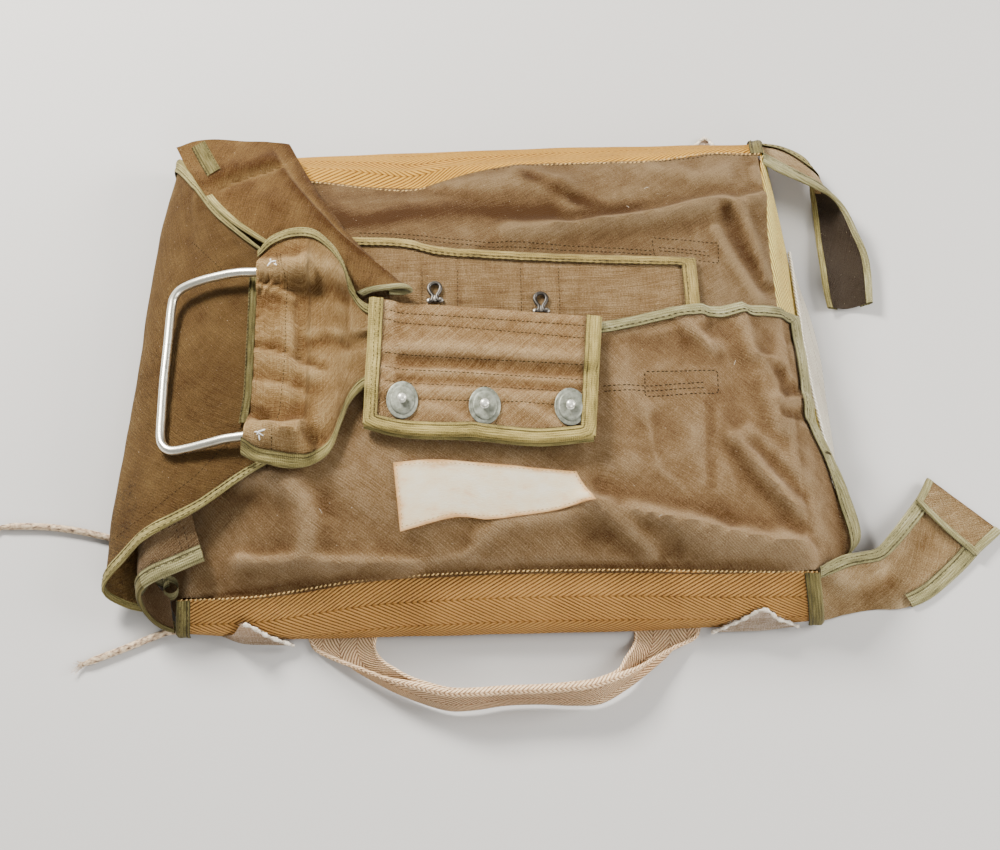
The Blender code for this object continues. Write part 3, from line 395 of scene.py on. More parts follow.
body_canvas = canvas_cloth("body_canvas", BODY_CANVAS)
body = bmesh.new()
body.from_mesh(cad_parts["pack_body"].data)
bmesh.ops.remove_doubles(body, verts=body.verts, dist=1e-6)
bmesh.ops.subdivide_edges(body, edges=body.edges, cuts=2, use_grid_fill=True)
side_verts = [v for v in body.verts if v.co.z > 0.0015]
bmesh.ops.smooth_vert(body, verts=side_verts, factor=0.5, use_axis_x=True, use_axis_y=True,
                      use_axis_z=True)
for vert in side_verts:
    ripple = noise.noise(vert.co * 45) * 0.9 + noise.noise(vert.co * 120) * 0.35
    vert.co -= Vector((vert.co.x, vert.co.y, 0)).normalized() * max(ripple, 0) * MM
for vert in side_verts:
    if vert.co.z > 0.030:
        vert.co.z -= back_hollow(vert.co.x / MM, vert.co.y / MM) * MM
box_flat(body)
pack = finished("pack_body_canvas", body, body_canvas, "canvas", "pack_body")

# ------------ walls of webbing
# Golden herringbone webbing stands round the front, right and back of the tray.  Its top
# edge is whipped to the flaps and each cut end is bound with olive tape.
WEBBING = 2.2
BINDING = 9.0
TAPE = 0.5
WALL_CLEAR = WEBBING / 2 + 0.5
FRONT_WALL = (
    (-204, -162, 25, -205, -171, 17, -206, -177, 9, -206, -177, 3.6),
    (-150, -163, 29, -150, -174, 20, -150, -182, 10, -150, -183, 3.6),
    (-80, -158, 38, -80, -171, 28, -80, -183, 14, -80, -185, 3.6),
    (0, -157, 40, 0, -172, 30, 0, -184, 15, 0, -186, 3.6),
    (80, -159, 40, 80, -173, 30, 80, -185, 15, 80, -187, 3.6),
    (150, -163, 40, 150, -176, 30, 150, -186, 15, 150, -187, 3.6),
    (204, -165, 39, 206, -177, 28, 208, -184, 14, 209, -185, 3.6),
)
RIGHT_WALL = (
    (203, -140, 42, 207, -140, 38, 214, -142, 27, 222, -144, 14, 225, -144, 3.6),
    (195, -70, 44, 203, -70, 39, 212, -70, 28, 222, -70, 14, 224, -70, 3.6),
    (191, 20, 46, 200, 20, 39, 208, 20, 28, 217, 20, 14, 219, 20, 3.6),
    (192, 60, 46, 200, 60, 39, 206, 60, 28, 214, 60, 14, 216, 60, 3.6),
    (193, 100, 45, 200, 100, 39, 205, 100, 28, 211, 100, 14, 213, 100, 3.6),
    (197, 150, 41, 200, 150, 38, 203, 150, 28, 206, 150, 14, 206, 150, 3.6),
    (198, 160, 37, 200, 160, 36, 202.5, 160, 27, 205, 160, 14, 205, 160, 3.6),
)
BACK_WALL = (
    (198, 151, 41, 198, 161, 37, 200, 170, 27, 201, 178, 14, 201, 179, 3.6),
    (160, 149, 43, 160, 159, 38, 161, 169, 28, 161, 179, 14, 161, 181, 3.6),
    (120, 140, 46, 120, 157, 38, 120, 169, 28, 120, 180, 14, 120, 182, 3.6),
    (74, 139, 47, 74, 156, 38, 74, 169, 28, 74, 181, 14, 74, 183, 3.6),
    (30, 138, 47, 30, 155, 38, 30, 169, 28, 30, 181, 14, 30, 183, 3.6),
    (-8, 133, 47, -8, 155, 38, -8, 169, 28, -8, 181, 14, -8, 183, 3.6),
    (-43, 124, 47, -43, 155, 38, -43, 169, 28, -43, 181, 14, -43, 182, 3.6),
    (-70, 127, 46, -70, 155, 38, -70, 169, 28, -70, 181, 14, -70, 182, 3.6),
    (-100, 132, 45, -100, 157, 37, -100, 169, 28, -100, 181, 14, -100, 182, 3.6),
    (-130, 136, 44, -130, 159, 37, -130, 169, 28, -130, 180, 14, -130, 181, 3.6),
)


def stations(length, cell, bound=(False, False)):
    """Fractions along an edge; a bound end has three narrow cells under its tape."""
    first, last = (BINDING / length if end else 0.0 for end in bound)
    marks = np.linspace(first, 1 - last, max(2, round((1 - first - last) * length / cell)) + 1)
    if first:
        marks = np.concatenate([np.linspace(0, first, 4)[:-1], marks])
    if last:
        marks = np.concatenate([marks, np.linspace(1 - last, 1, 4)[1:]])
    return marks


def loft(sections, cell, ends=(False, False), sides=(False, False)):
    """A fine grid through cross-sections (x, y, z, x, y, z ...), bound at these ends and sides."""
    sections = np.reshape(np.array(sections, float), (len(sections), -1, 3))
    down = stations(length_of(sections[:, sections.shape[1] // 2]), cell, ends)
    lines = np.stack([along(sections[:, k], down) for k in range(sections.shape[1])], axis=1)
    width = np.mean([length_of(line) for line in lines])
    across = stations(width, cell, sides)
    return np.stack([along(line, across) for line in lines])


def normals(grid):
    """Normals at the points of a grid, each the mean of the triangles round it."""
    a, b, c, d = grid[:-1, :-1], grid[1:, :-1], grid[1:, 1:], grid[:-1, 1:]
    first, second = unit(np.cross(b - a, c - a)), unit(np.cross(c - a, d - a))
    total = np.zeros_like(grid)
    total[:-1, :-1] += first + second
    total[1:, :-1] += first
    total[1:, 1:] += first + second
    total[:-1, 1:] += second
    return unit(total)


def swollen(grid, height):
    """A grid moved out along its normals."""
    return grid + normals(grid) * height[..., None]


def blurred(values, times=1):
    for _ in range(times):
        wide = np.pad(values, ((1, 1), (1, 1)) + ((0, 0),) * (values.ndim - 2), mode="edge")
        values = (wide[:-2, 1:-1] + wide[2:, 1:-1] + wide[1:-1, :-2] + wide[1:-1, 2:]
                  + 4 * values) / 8
    return values


def lay(grid, below, clear, up=(0, 0, 1), soft=6, rows=slice(None), columns=slice(None)):
    """Raise a grid along `up`, softly, until it clears the finished pieces in `below`."""
    up = unit(np.array(up, float))
    need = np.full(grid.shape[:2], -1e9)
    numbers = np.arange(grid.shape[0] * grid.shape[1]).reshape(grid.shape[:2])[rows, columns]
    for number in numbers.ravel():
        place = divmod(int(number), grid.shape[1])
        point = grid[place]
        start = point + up * (600 - point.dot(up))
        for name in below:
            hit = surfaces[name].ray_cast(Vector(start * MM), Vector(-up))
            if hit[0] is not None:
                need[place] = max(need[place], np.array(hit[0]).dot(up) / MM + clear)
    wide = np.pad(need, 1, mode="edge")
    need = np.max([wide[i:i + need.shape[0], j:j + need.shape[1]]
                   for i in range(3) for j in range(3)], axis=0)
    short = np.maximum(need - grid @ up, 0)
    lift = short.copy()
    for _ in range(soft):
        lift = np.maximum(short, blurred(lift, 2))
    return grid + lift[..., None] * up


def cut_flat(grid, bias=0.0):
    """Flat place of each point in mm, turned so that the threads run at `bias` degrees."""
    down = np.linalg.norm(np.diff(grid, axis=0), axis=2).mean(axis=1)
    down = np.concatenate([[0.0], np.cumsum(down)])[:, None]
    across = np.cumsum(np.linalg.norm(np.diff(grid, axis=1), axis=2), axis=1)
    across = np.hstack([np.zeros((len(grid), 1)), across])
    down = np.broadcast_to(down, across.shape)
    turn = math.radians(bias)
    return np.stack([down * math.cos(turn) + across * math.sin(turn),
                     across * math.cos(turn) - down * math.sin(turn)], axis=-1)


def crests(grid, normal):
    """1 on the crests and -1 in the hollows of a piece: its broad folds and its fine creases.
    The colour takes it as paler crests and darker hollows, partly wear and dirt, partly painted
    light and shade.
    """
    broad = ((grid - blurred(grid, 30)) * normal).sum(axis=-1)
    fine = ((grid - blurred(grid, 5)) * normal).sum(axis=-1)
    return np.clip(broad * 0.7 + fine * 0.9, -1.4, 1.1)


def even_sides(grid, wide, low=True, high=True):
    """The grid with its bound sides the same width all along: three cells each."""
    first, last = 3 * low, 3 * high
    rows = []
    for row in grid:
        long = length_of(row)
        rows.append(at_marks(row, np.concatenate([
            np.arange(first) * wide / 3,
            np.linspace(wide * low, long - wide * high, grid.shape[1] - first - last),
            long - np.arange(last)[::-1] * wide / 3])))
    return np.array(rows)


def cloth(name, grid, thick, material, slot, *nodes, bias=0.0, painted_shade=0.0):
    """One closed sheet on a grid, its colour darker where shade is painted on it."""
    normal = normals(grid)
    bm = woven(grid, cut_flat(grid, bias), thick, normal, crests(grid, normal) + painted_shade)
    return finished(name, bm, material, slot, *nodes)


def spot(grid, rows, columns):
    """Points between the points of a grid."""
    rows = np.clip(rows, 0, grid.shape[0] - 1.000001)
    columns = np.clip(columns, 0, grid.shape[1] - 1.000001)
    i, j = np.floor(rows).astype(int), np.floor(columns).astype(int)
    p, q = (rows - i)[..., None], (columns - j)[..., None]
    return ((1 - p) * (1 - q) * grid[i, j] + p * (1 - q) * grid[i + 1, j]
            + (1 - p) * q * grid[i, j + 1] + p * q * grid[i + 1, j + 1])


def from_edge(grid, side):
    """The grid turned so that its first row is the named side."""
    return {"start": grid, "end": grid[::-1], "low": grid.swapaxes(0, 1),
            "high": grid.swapaxes(0, 1)[::-1]}[side]


# depth from the edge in thirds of the tape, height over the cloth's face, which face
TAPE_SECTION = ((3.0, 0.10, 1), (2.85, 0.55, 1), (2.45, 0.78, 1), (2.05, 0.42, 1), (1.65, 0.50, 1),
                (1.15, 0.85, 1), (0.55, 0.95, 1), (0.1, 0.60, 1), (-0.28, 0.0, 1), (-0.28, 0.0, -1),
                (0.1, 0.45, -1), (0.7, 0.50, -1), (1.2, 0.40, -1))
STITCH_DEPTH = 2.05


def edge_of(grid, side, span):
    """A sheet and its normals from one side, and the columns where its tape starts and ends."""
    sheet = from_edge(grid, side)
    return (sheet, from_edge(normals(grid), side), span[0],
            sheet.shape[1] - 1 if span[1] is None else span[1])


def tape(name, grid, side, thick, material, *nodes, span=(0, None), mitre=(False, False)):
    """Tape folded over one side of a sheet and stitched through; it comes back under the edge."""
    sheet, normal, first, last = edge_of(grid, side, span)
    path = np.arange(first, last + 1, 1.0)
    strip = []
    for depth, height, face in TAPE_SECTION:
        inset = max(depth, 0.0)
        here = np.clip(path, first + inset * mitre[0], last - inset * mitre[1])
        deep = np.full(len(here), inset)
        point, up = spot(sheet, deep, here), unit(spot(normal, deep, here))
        if depth < 0:
            outward = unit(point - spot(sheet, deep + 1, here))
            point = point + outward * (-depth * 3) + up * face * 0.30
        else:
            point = point + up * face * (thick / 2 + height)
        strip.append(point)
    strip = np.stack(strip, axis=1)
    bm = woven(strip, cut_flat(strip), TAPE, normals(strip))
    bmesh.ops.remove_doubles(bm, verts=bm.verts, dist=2e-6)
    return finished(name, bm, material, "binding", *nodes, smooth=70)


def on_tape(grid, side, thick, span=(0, None), depth=STITCH_DEPTH, mitre=(False, False)):
    """The line of a tape's stitches: points and normals."""
    sheet, normal, first, last = edge_of(grid, side, span)
    here = np.arange(first + (depth if mitre[0] else 0.5), last - (depth if mitre[1] else 0.5), 0.5)
    deep = np.full(len(here), depth)
    up = unit(spot(normal, deep, here))
    return spot(sheet, deep, here) + up * (thick / 2 + 0.62), up


def tape_lines(grid, thick, sides, depths=(STITCH_DEPTH,), **where):
    return [on_tape(grid, side, thick, depth=depth, **where) for side in sides for depth in depths]


Stitch = namedtuple("Stitch", "long gap thick slant", defaults=(2.7, 1.5, 0.55, 0.0))


def sew(thread, line, up, stitch):
    """Stitches along a line: each a short rounded length of thread, half sunk in the cloth."""
    line, up = np.array(line, float), np.array(up, float)
    long, gap, thick, slant = stitch
    travelled = run_of(line)
    pitch = long + gap
    for centre in np.arange(long, travelled[-1] - long / 2, pitch):
        middle = centre + chance.uniform(-0.12, 0.12) * pitch
        a, b = (np.array([np.interp(middle + half, travelled, line[:, k]) for k in range(3)])
                for half in (-long / 2, long / 2))
        normal = unit(np.array([np.interp(centre, travelled, up[:, k]) for k in range(3)]))
        ahead = unit(b - a)
        ahead = unit(ahead + unit(np.cross(normal, ahead)) * (slant + chance.uniform(-0.05, 0.05)))
        side = unit(np.cross(normal, ahead))
        half = np.linalg.norm(b - a) / 2
        matrix = [[ahead[k] * half * MM, side[k] * thick / 2 * MM, normal[k] * thick / 2 * MM,
                   (a[k] + b[k]) / 2 * MM] for k in range(3)] + [[0, 0, 0, 1]]
        bmesh.ops.create_icosphere(thread, subdivisions=1, radius=1.0, matrix=Matrix(matrix))


def stitched(name, thread, slot, *groups):
    """A piece of stitches: each group is its lines with their normals, and how they are sewn."""
    bm = bmesh.new()
    for lines, stitch in groups:
        for line, up in lines:
            sew(bm, line, up, stitch)
    return finished(name, bm, thread, slot)


def sewing_thread(name, colour, light):
    """Twisted thread, a little uneven in tone."""
    look = Finish(name, 0.9, specular=0.12)
    twist = look.specks(look.place(), 900.0, 2.0)
    return look.done(look.ramp(twist, (0.35, colour), (0.65, light)), twist, 0.15)


def herringbone(name, groove, rib, crest, stripe=17.5, pitch=2.1, lean=30):
    """Woven chevrons: stripes of diagonal ribs that meet in dark points."""
    look = Finish(name, 0.88, sheen=0.05, specular=0.2)
    at, lean = look.weave(), math.radians(lean)
    u, v = look.parts(at)[:2]
    folded = look.calc("PINGPONG", v, stripe)
    phase = look.raised(look.calc("MULTIPLY", u, math.sin(lean)), (folded, math.cos(lean)))
    ribs = look.calc("POWER", look.calc("ABSOLUTE", look.wave(phase, 2 * pitch)), 1.1)
    middle = look.calc("ABSOLUTE", look.calc("SUBTRACT", folded, stripe / 2))
    seam = look.calc("POWER", look.calc("MULTIPLY", middle, 2 / stripe), 16.0)
    height = look.calc("MULTIPLY", ribs, look.raised(1.0, (seam, -0.55)))
    yarn = look.specks(at, 1.0, 2.0, stretch=(0.9, 0.9))
    total = look.mottled(look.raised(0.14, (height, 0.66)), (yarn, 0.50),
                         (look.specks(look.place(), 22.0, 4.0, 0.6), 0.45))
    # The crest and hollow value, weakly: partly wear and dirt, partly painted light and shade.
    total = look.raised(total, (look.attribute("wear_and_shade"), 0.06))
    return look.done(look.ramp(total, (0.16, groove), (0.46, rib), (0.80, crest)),
                     look.raised(height, (yarn, 0.35)), 0.6)


def binding_tape(name, groove, middle, crest):
    """Narrow ribbed tape, its colour uneven along its length."""
    look = Finish(name, 0.9, sheen=0.05, specular=0.2)
    at = look.weave()
    u, v = look.parts(at)[:2]
    ribs, cross = look.wave(v, 1.7), look.wave(u, 1.3)
    grain = look.specks(at, 1.2, 2.0)
    total = look.mottled(0.5, (look.specks(at, 1.0, 2.0, stretch=(0.09, 0.9)), 0.55),
                         (grain, 0.35), (look.specks(look.place(), 30.0, 3.0, 0.6), 0.5))
    total = look.raised(total, (ribs, 0.05))
    for line, dark in ((0.2, -0.34), (2.5, -0.20), (9.0, -0.12)):
        apart = look.calc("ABSOLUTE", look.calc("SUBTRACT", v, line))
        total = look.raised(total, (look.add("MapRange", apart, 0.15, 0.75, 1.0, 0.0), dark))
    return look.done(look.ramp(total, (0.22, groove), (0.5, middle), (0.74, crest)),
                     look.raised(grain, (cross, 0.25), (ribs, 0.3)), 0.35)


front_gold = herringbone("front_gold_webbing", (0.104, 0.039, 0.007), (0.478, 0.229, 0.054),
                         (0.768, 0.438, 0.138))
light_gold = herringbone("light_gold_webbing", (0.119, 0.043, 0.004), (0.466, 0.222, 0.025),
                         (0.728, 0.418, 0.068), pitch=2.7, lean=38)
side_gold = herringbone("side_gold_webbing", (0.105, 0.042, 0.008), (0.850, 0.548, 0.140),
                        (0.970, 0.898, 0.336), stripe=60.0, pitch=2.6, lean=20)
dark_olive = binding_tape("dark_olive_tape", (0.021, 0.017, 0.005), (0.101, 0.081, 0.025),
                          (0.190, 0.161, 0.059))
brown_thread = sewing_thread("brown_thread", (0.018, 0.010, 0.004), (0.055, 0.032, 0.014))
gold_thread = sewing_thread("gold_thread", (0.266, 0.152, 0.045), (0.589, 0.408, 0.171))

walls = {}
for wall, sections, up, ends, gold in (
        ("front_wall", FRONT_WALL, (0, -1, 0), (True, True), front_gold),
        ("right_wall", RIGHT_WALL, (1, 0, 0), (False, False), side_gold),
        ("back_wall", BACK_WALL, (0, 1, 0), (True, False), light_gold)):
    grid = loft(sections, 3.0, ends)
    turned_over = 0 if wall == "front_wall" else int(grid.shape[1] * 0.3)
    grid = lay(grid, ["pack_body_canvas"], WALL_CLEAR, soft=4, columns=slice(0, turned_over))
    grid = lay(grid, ["pack_body_canvas"], WALL_CLEAR, up, soft=3)[:, ::-1]
    uneven = np.array([noise.noise(Vector(p) * 0.03) * 0.7 for p in grid.reshape(-1, 3)])
    grid = walls[wall] = swollen(grid, uneven.reshape(grid.shape[:2]))
    normal = normals(grid)
    bm = woven(grid, cut_flat(grid[:, ::-1])[:, ::-1], WEBBING, normal, crests(grid, normal))
    webbing = finished(wall + "_webbing", bm, gold, "gold_webbing", wall, smooth=60)
    size = length_of(grid[:, 7]), np.mean([length_of(row) for row in grid])
WALL_ENDS = (("front_wall", "start", "front_wall_left_binding"),
             ("front_wall", "end", "front_wall_right_binding"),
             ("back_wall", "start", "back_wall_right_binding"))
for wall, side, node in WALL_ENDS:
    tape(node + "_tape", walls[wall], side, WEBBING, dark_olive, node)
whipped = []
for wall in ("front_wall", "back_wall"):
    edge, up = walls[wall][:, -1], normals(walls[wall])[:, -1]
    whipped.append((edge + up * 0.4 + np.array([0, 0, 0.3]), up))
stitched("wall_edge_whipping", gold_thread, "gold_webbing",
         (whipped, Stitch(2.8, 0.2, 1.3, 0.6)))
stitched("wall_end_stitches", brown_thread, "gold_webbing",
         *((tape_lines(walls[wall], WEBBING, [side], (0.8, 2.4)), Stitch())
           for wall, side, _ in WALL_ENDS))

# ------------ back flap
# The first flap to close: coarse linen cut on the bias and sewn along the back wall.  It is
# slack over the filling, so a long soft ridge and a hollow run across it.
CANVAS = 1.4
CLEAR = CANVAS / 2 + 0.6
HALF_LONG = 200.0
HALF_WIDE = 160.0
Fold = namedtuple("Fold", "line width height sharp")


def ridge(width, height, *line, sharp=False):
    """A fold along a line in plan, given as x, y, x, y; a trough has its height below zero."""
    return Fold(np.reshape(line, (-1, 2)), width, height, sharp)


BACK_FOLDS = (
    ridge(10, 5.0, 20.4, 75.7, 49.2, 77, 85.6, 80.3, 111.6, 85.1, 147.3, 97.6, 166.4, 102.5,
          194, 109),
    ridge(7, -3.4, 58.7, 87, 93.2, 93, 117, 97, 141.4, 106, 165, 113, 190, 118),
    ridge(12, -2.2, -90, 106, 60, 90),
    ridge(20, -3.0, -90, 114, -40, 118),
    ridge(12, 3.0, -95, 126, 56, 118),
    ridge(9, 2.6, 28.4, 131.7, 40.9, 122.2, 55.1, 109.8, 60.5, 96.5),
    ridge(6, -3.6, 166, 98.2, 169.4, 79.4, 178.5, 56.9, 187.6, 41),
    ridge(4.5, 2.6, 176.6, 99.4, 184.3, 73.1, 189.3, 44.5),
)
BACK_CREASES = (
    ridge(4.0, 1.9, 49.2, 77, 85.6, 80.3, 111.6, 85.1, 147.3, 97.6, 166.4, 102.5, 194, 109,
          sharp=True),
    ridge(4.5, 2.2, 157.6, 78.4, 167.1, 54.6, 183.3, 27.1),
    ridge(8, -2.2, -16.6, 109.1, 8.6, 98.2),
    ridge(8, -2.4, -27, 114, -54, 120.5, -78, 117.4),
    ridge(5.5, -2.6, 34, 125, 48, 114, 62, 104, 84, 95),
    ridge(3.0, 1.6, 176.6, 99.4, 184.3, 73.1, 189.3, 44.5, sharp=True),
    ridge(7, -3.0, 184.3, 142.6, 174.1, 103.6),
    ridge(5, 2.2, 190.8, 136.5, 194, 108.8),
    ridge(8, 1.6, 120, 134, 146, 126, 168, 130),
    ridge(9, 1.4, -30, 124, 0, 126, 20, 128),
    ridge(7, 1.3, -120, 120, -96, 108, -80, 104),
)
# Troughs of painted shade in the back flap's colour: darker bands along its hollows, not in its
# shape.
BACK_PAINTED_SHADE = (
    ridge(8, -2.8, -94, 92, -72, 93, -46, 98, -17, 99, 14, 95, 44, 92),
    ridge(7, -1.6, 30, 126, 44, 118, 60, 106, 84, 95, 104, 96),
    ridge(8, -1.4, -110, 112, -96, 101),
    ridge(6, -1.4, 166, 96, 171, 76, 182, 50),
)


def seam_height(x, y):
    """Height of the wall's top seam, sunk at the front left corner."""
    sink = np.clip((-x - 55) / 110, 0, 1) * np.clip(-y / HALF_WIDE, 0, 1)
    return 38.0 - 14.0 * sink * sink * (3 - 2 * sink)


def crown(x, y):
    """Height of the closed flaps over the base, without their folds."""
    draw_in = 1 - np.clip(np.abs(x) / HALF_LONG, 0, 1) ** 2
    u = np.abs(x) / HALF_LONG
    v = np.abs(y) / (HALF_WIDE - 5 * draw_in)
    inside = np.clip(1 - u ** 2.6, 0, 1) * np.clip(1 - v ** 2.6, 0, 1)
    base = seam_height(x, y)
    outside = np.maximum(np.maximum(u - 1, 0) * HALF_LONG, np.maximum(v - 1, 0) * HALF_WIDE)
    return (base + (75.0 - base) * inside ** 0.55 - np.minimum(outside, 26.0)
            - back_hollow(x, y))


def fold_height(folds, x, y):
    """Sum of ridges and troughs at a point in plan; a sharp one has a pinched crest."""
    total = np.zeros_like(x)
    for fold in folds:
        nearest = np.full(x.shape, 1e9)
        for (x0, y0), (x1, y1) in zip(fold.line, fold.line[1:]):
            run_x, run_y = x1 - x0, y1 - y0
            share = np.clip(((x - x0) * run_x + (y - y0) * run_y) / (run_x ** 2 + run_y ** 2), 0, 1)
            nearest = np.minimum(nearest, np.hypot(x - x0 - share * run_x, y - y0 - share * run_y))
        reach = nearest / fold.width
        shape = np.exp(-np.sqrt(reach ** 2 + 0.01) + 0.1) if fold.sharp else np.exp(-reach ** 2)
        total = total + fold.height * shape
    return total


def ripples(x, y, size, height, seed=0.0):
    """Small uneven waves of cloth."""
    return np.array([noise.noise(Vector((p / size, q / size, seed)))
                     for p, q in zip(x.ravel(), y.ravel())]).reshape(x.shape) * height


def crumple(grid, size, height, seed):
    """Thin crossed creases where the cloth has been crushed."""
    shape = np.array([(1 - 2.4 * abs(noise.noise(Vector((x / size, y / size, seed)))))
                      for x, y in grid[..., :2].reshape(-1, 2)]).reshape(grid.shape[:2])
    return np.clip(shape, 0, 1) ** 3 * height


def patch(front, back, left=None, right=None, cell=2.2, ends=(False, False),
          sides=(False, False)):
    """A grid in plan between four edges, a side straight where none is given: rows run from
    left to right, columns to the back."""
    left, right = left or (front[0], back[0]), right or (front[-1], back[-1])
    front, back, left, right = (np.array([(*p, 0.0) for p in edge])
                                for edge in (front, back, left, right))
    s = stations(0.5 * (length_of(front) + length_of(back)), cell, ends)
    t = stations(0.5 * (length_of(left) + length_of(right)), cell, sides)
    front, back = along(front, s)[:, None], along(back, s)[:, None]
    left, right = along(left, t)[None], along(right, t)[None]
    s, t = s[:, None, None], t[None, :, None]
    corners = ((1 - s) * (1 - t) * left[:, :1] + (1 - s) * t * left[:, -1:]
               + s * (1 - t) * right[:, :1] + s * t * right[:, -1:])
    return (1 - t) * front + t * back + (1 - s) * left + s * right - corners


def plan(grid):
    return grid[..., 0], grid[..., 1]


def spread(grid, folds=(), lift=0.0, slack=0.6, seed=0.0):
    """Lay a plan over the crown of the pack, with its folds and small waves."""
    x, y = plan(grid)
    raised = grid.copy()
    raised[..., 2] = (crown(x, y) + 1.6 * fold_height(folds, x, y) + lift
                      + ripples(x, y, 42.0, slack * 1.5, seed)
                      + ripples(x, y, 17.0, slack * 0.6, seed + 5))
    return raised


def dropped(path, names, step=1.5):
    """A line in plan dropped on the finished pieces below: points and normals."""
    path = np.array(path, float)
    long = run_of(path)[-1]
    points, up = [], []
    for x, y in at_marks(path, np.linspace(0, 1, max(3, round(long / step))) * long):
        hits = [surfaces[n].ray_cast(Vector((x * MM, y * MM, 0.6)), Vector((0, 0, -1)))
                for n in names]
        hits = [h for h in hits if h[0] is not None]
        if hits:
            top = max(hits, key=lambda h: h[0].z)
            points.append(np.array(top[0]) / MM)
            up.append(np.array(top[1]) * (1 if top[1].z > 0 else -1))
    return np.array(points), np.array(up)


def dropped_on(name, *paths):
    return [dropped(path, [name]) for path in paths]


back_canvas = canvas_cloth("back_flap_canvas", (0.180, 0.107, 0.044))
back_flap = patch(
    front=((-186, 24), (-75, -2), (76, -5), (197, 10)),
    back=((-196, 154), (-130, 139), (-100, 134), (-70, 129), (-43, 126), (-25, 130), (8, 139),
          (37, 141), (74, 141), (124, 142), (150, 147), (162, 151), (194, 152)),
    left=((-186, 24), (-194, 90), (-196, 154)),
    right=((189, 10), (189.5, 50), (191, 80), (193.5, 110), (194, 152)),
    cell=2.4)
back_flap = spread(back_flap, BACK_FOLDS + BACK_CREASES, seed=1)
back_flap[..., 2] += crumple(back_flap, 34.0, 0.6, 3) + crumple(back_flap, 13.0, 0.16, 8)
back_flap = lay(back_flap, ["pack_body_canvas", "back_wall_webbing", "right_wall_webbing"], CLEAR)
# The back flap's colour gets the troughs of painted shade listed above.
back_sheet = cloth("back_flap_cloth", back_flap, CANVAS, back_canvas, "canvas", "back_flap",
                   bias=28, painted_shade=fold_height(BACK_PAINTED_SHADE, *plan(back_flap)))
stitched("back_flap_stitches", brown_thread, "canvas",
         (dropped_on("back_flap_cloth",
                     ((8, 136.5), (37, 138.5), (74, 138.5), (124, 139.5), (150, 144.5),
                      (162, 148.5), (192, 149.5))), Stitch(2.2, 1.2, 0.8)),
         (dropped_on("back_flap_cloth",
                     ((-84, 81), (-50, 77), (0, 68), (60, 62), (113, 59)),
                     ((-84, 77.5), (-50, 73.5), (0, 64.5), (60, 58.5), (113, 56)),
                     ((113, 69), (158, 67.5), (157, 51.5), (114, 54.5), (113, 69)),
                     ((116, 62), (150, 60)), ((116, 59.5), (152, 57))),
          Stitch(2.3, 0.7, 0.85)))

# ------------ hook panel
# A patch of lighter linen sewn on the back flap, closed round its edge with sage tape.
# Four upright seams divide it, and two small wire hooks stand between them.
LINEN = 1.3
LINEN_CLEAR = LINEN / 2 + 0.5
PANEL_SEAMS = (-41, -17.5, 24, 49)


def plain_linen(name, middle):
    """Lighter plain-woven cloth: finer threads and more slubs."""
    return canvas_cloth(name, middle, thread=1.35, slubs=0.42, mottling=0.40, ribs=0.045,
                        right_side_light=0.3)


panel_linen = plain_linen("hook_panel_linen", (0.246, 0.150, 0.063))
sage_tape = binding_tape("sage_tape", (0.047, 0.032, 0.008), (0.200, 0.144, 0.041),
                         (0.333, 0.253, 0.095))
dark_thread = sewing_thread("dark_thread", (0.012, 0.008, 0.004), (0.040, 0.025, 0.012))
hook_panel = patch(
    front=((-88, 0), (76, -6), (140, 4)),
    back=((-88, 75), (-51, 70), (-26, 62), (37, 55), (90, 52), (140, 52)),
    cell=2.6, ends=(False, True), sides=(False, True))
hook_panel = even_sides(hook_panel, 6.6, low=False)
hook_panel = spread(hook_panel, BACK_FOLDS, 3.0, slack=0.35, seed=2)
hook_panel[..., 2] += crumple(hook_panel, 19.0, 0.22, 5)
hook_panel[..., 2] -= sum(0.5 * np.exp(-((hook_panel[..., 0] - x) / 2.0) ** 2)
                          for x in PANEL_SEAMS)
hook_panel = lay(hook_panel, ["back_flap_cloth"], LINEN_CLEAR)
panel = cloth("hook_panel_cloth", hook_panel, LINEN, panel_linen, "linen", "hook_panel")
panel_tapes = [tape("hook_panel_top_tape", hook_panel, "high", LINEN, sage_tape,
                    "hook_panel_binding", mitre=(False, True)),
               tape("hook_panel_side_tape", hook_panel, "end", LINEN, sage_tape,
                    mitre=(False, True))]
PANEL = ["hook_panel_cloth", "hook_panel_top_tape"]     # others lie on these
stitched("hook_panel_stitches", dark_thread, "linen",
         (tape_lines(hook_panel, LINEN, ("high", "end"), (2.05, 2.8), mitre=(False, True)),
          Stitch(thick=0.5)),
         (dropped_on("hook_panel_cloth", *(((x, 46), (x - 1, 0)) for x in PANEL_SEAMS)),
          Stitch(2.2, 0.7, 0.55)))

# ------------ front flap
# The widest flap, coarse linen on the bias.  It closes over the back flap; sage tape binds
# its back edge and right side, where small pleats pull creases across it.
FRONT_FOLDS = (
    ridge(13, 4.6, 60, -124, 196, -149),
    ridge(9, -2.0, 62, -143, 125, -158),
    ridge(8, 4.4, 158.2, -80, 175.9, -104.2, 193.8, -125.2),
    ridge(8, -3.2, 151.5, -85, 164.5, -106, 184.4, -128, 202.6, -144),
    ridge(10, -1.8, 102, -96, 124, -116),
    ridge(17, -2.8, 40, -76, 84, -80, 104, -74),
    ridge(7, 2.2, 122, 14, 146, -14),
    ridge(8, 3.0, 166, 16, 188, -62),
    ridge(9, 4.2, -158.9, -95.5, -146.8, -93.9, -128.8, -102.9, -120.7, -112.9, -117.9, -124.8,
          -119.6, -136.5),
    ridge(11, -3.4, -181.7, -105.1, -161.7, -108, -150.5, -122, -147, -134),
    ridge(8, 2.2, -162.5, -146, -130.4, -148, -92.6, -152.4, -54.9, -154),
    ridge(15, 4.6, 204, -10, 205, -70, 208, -138),
)
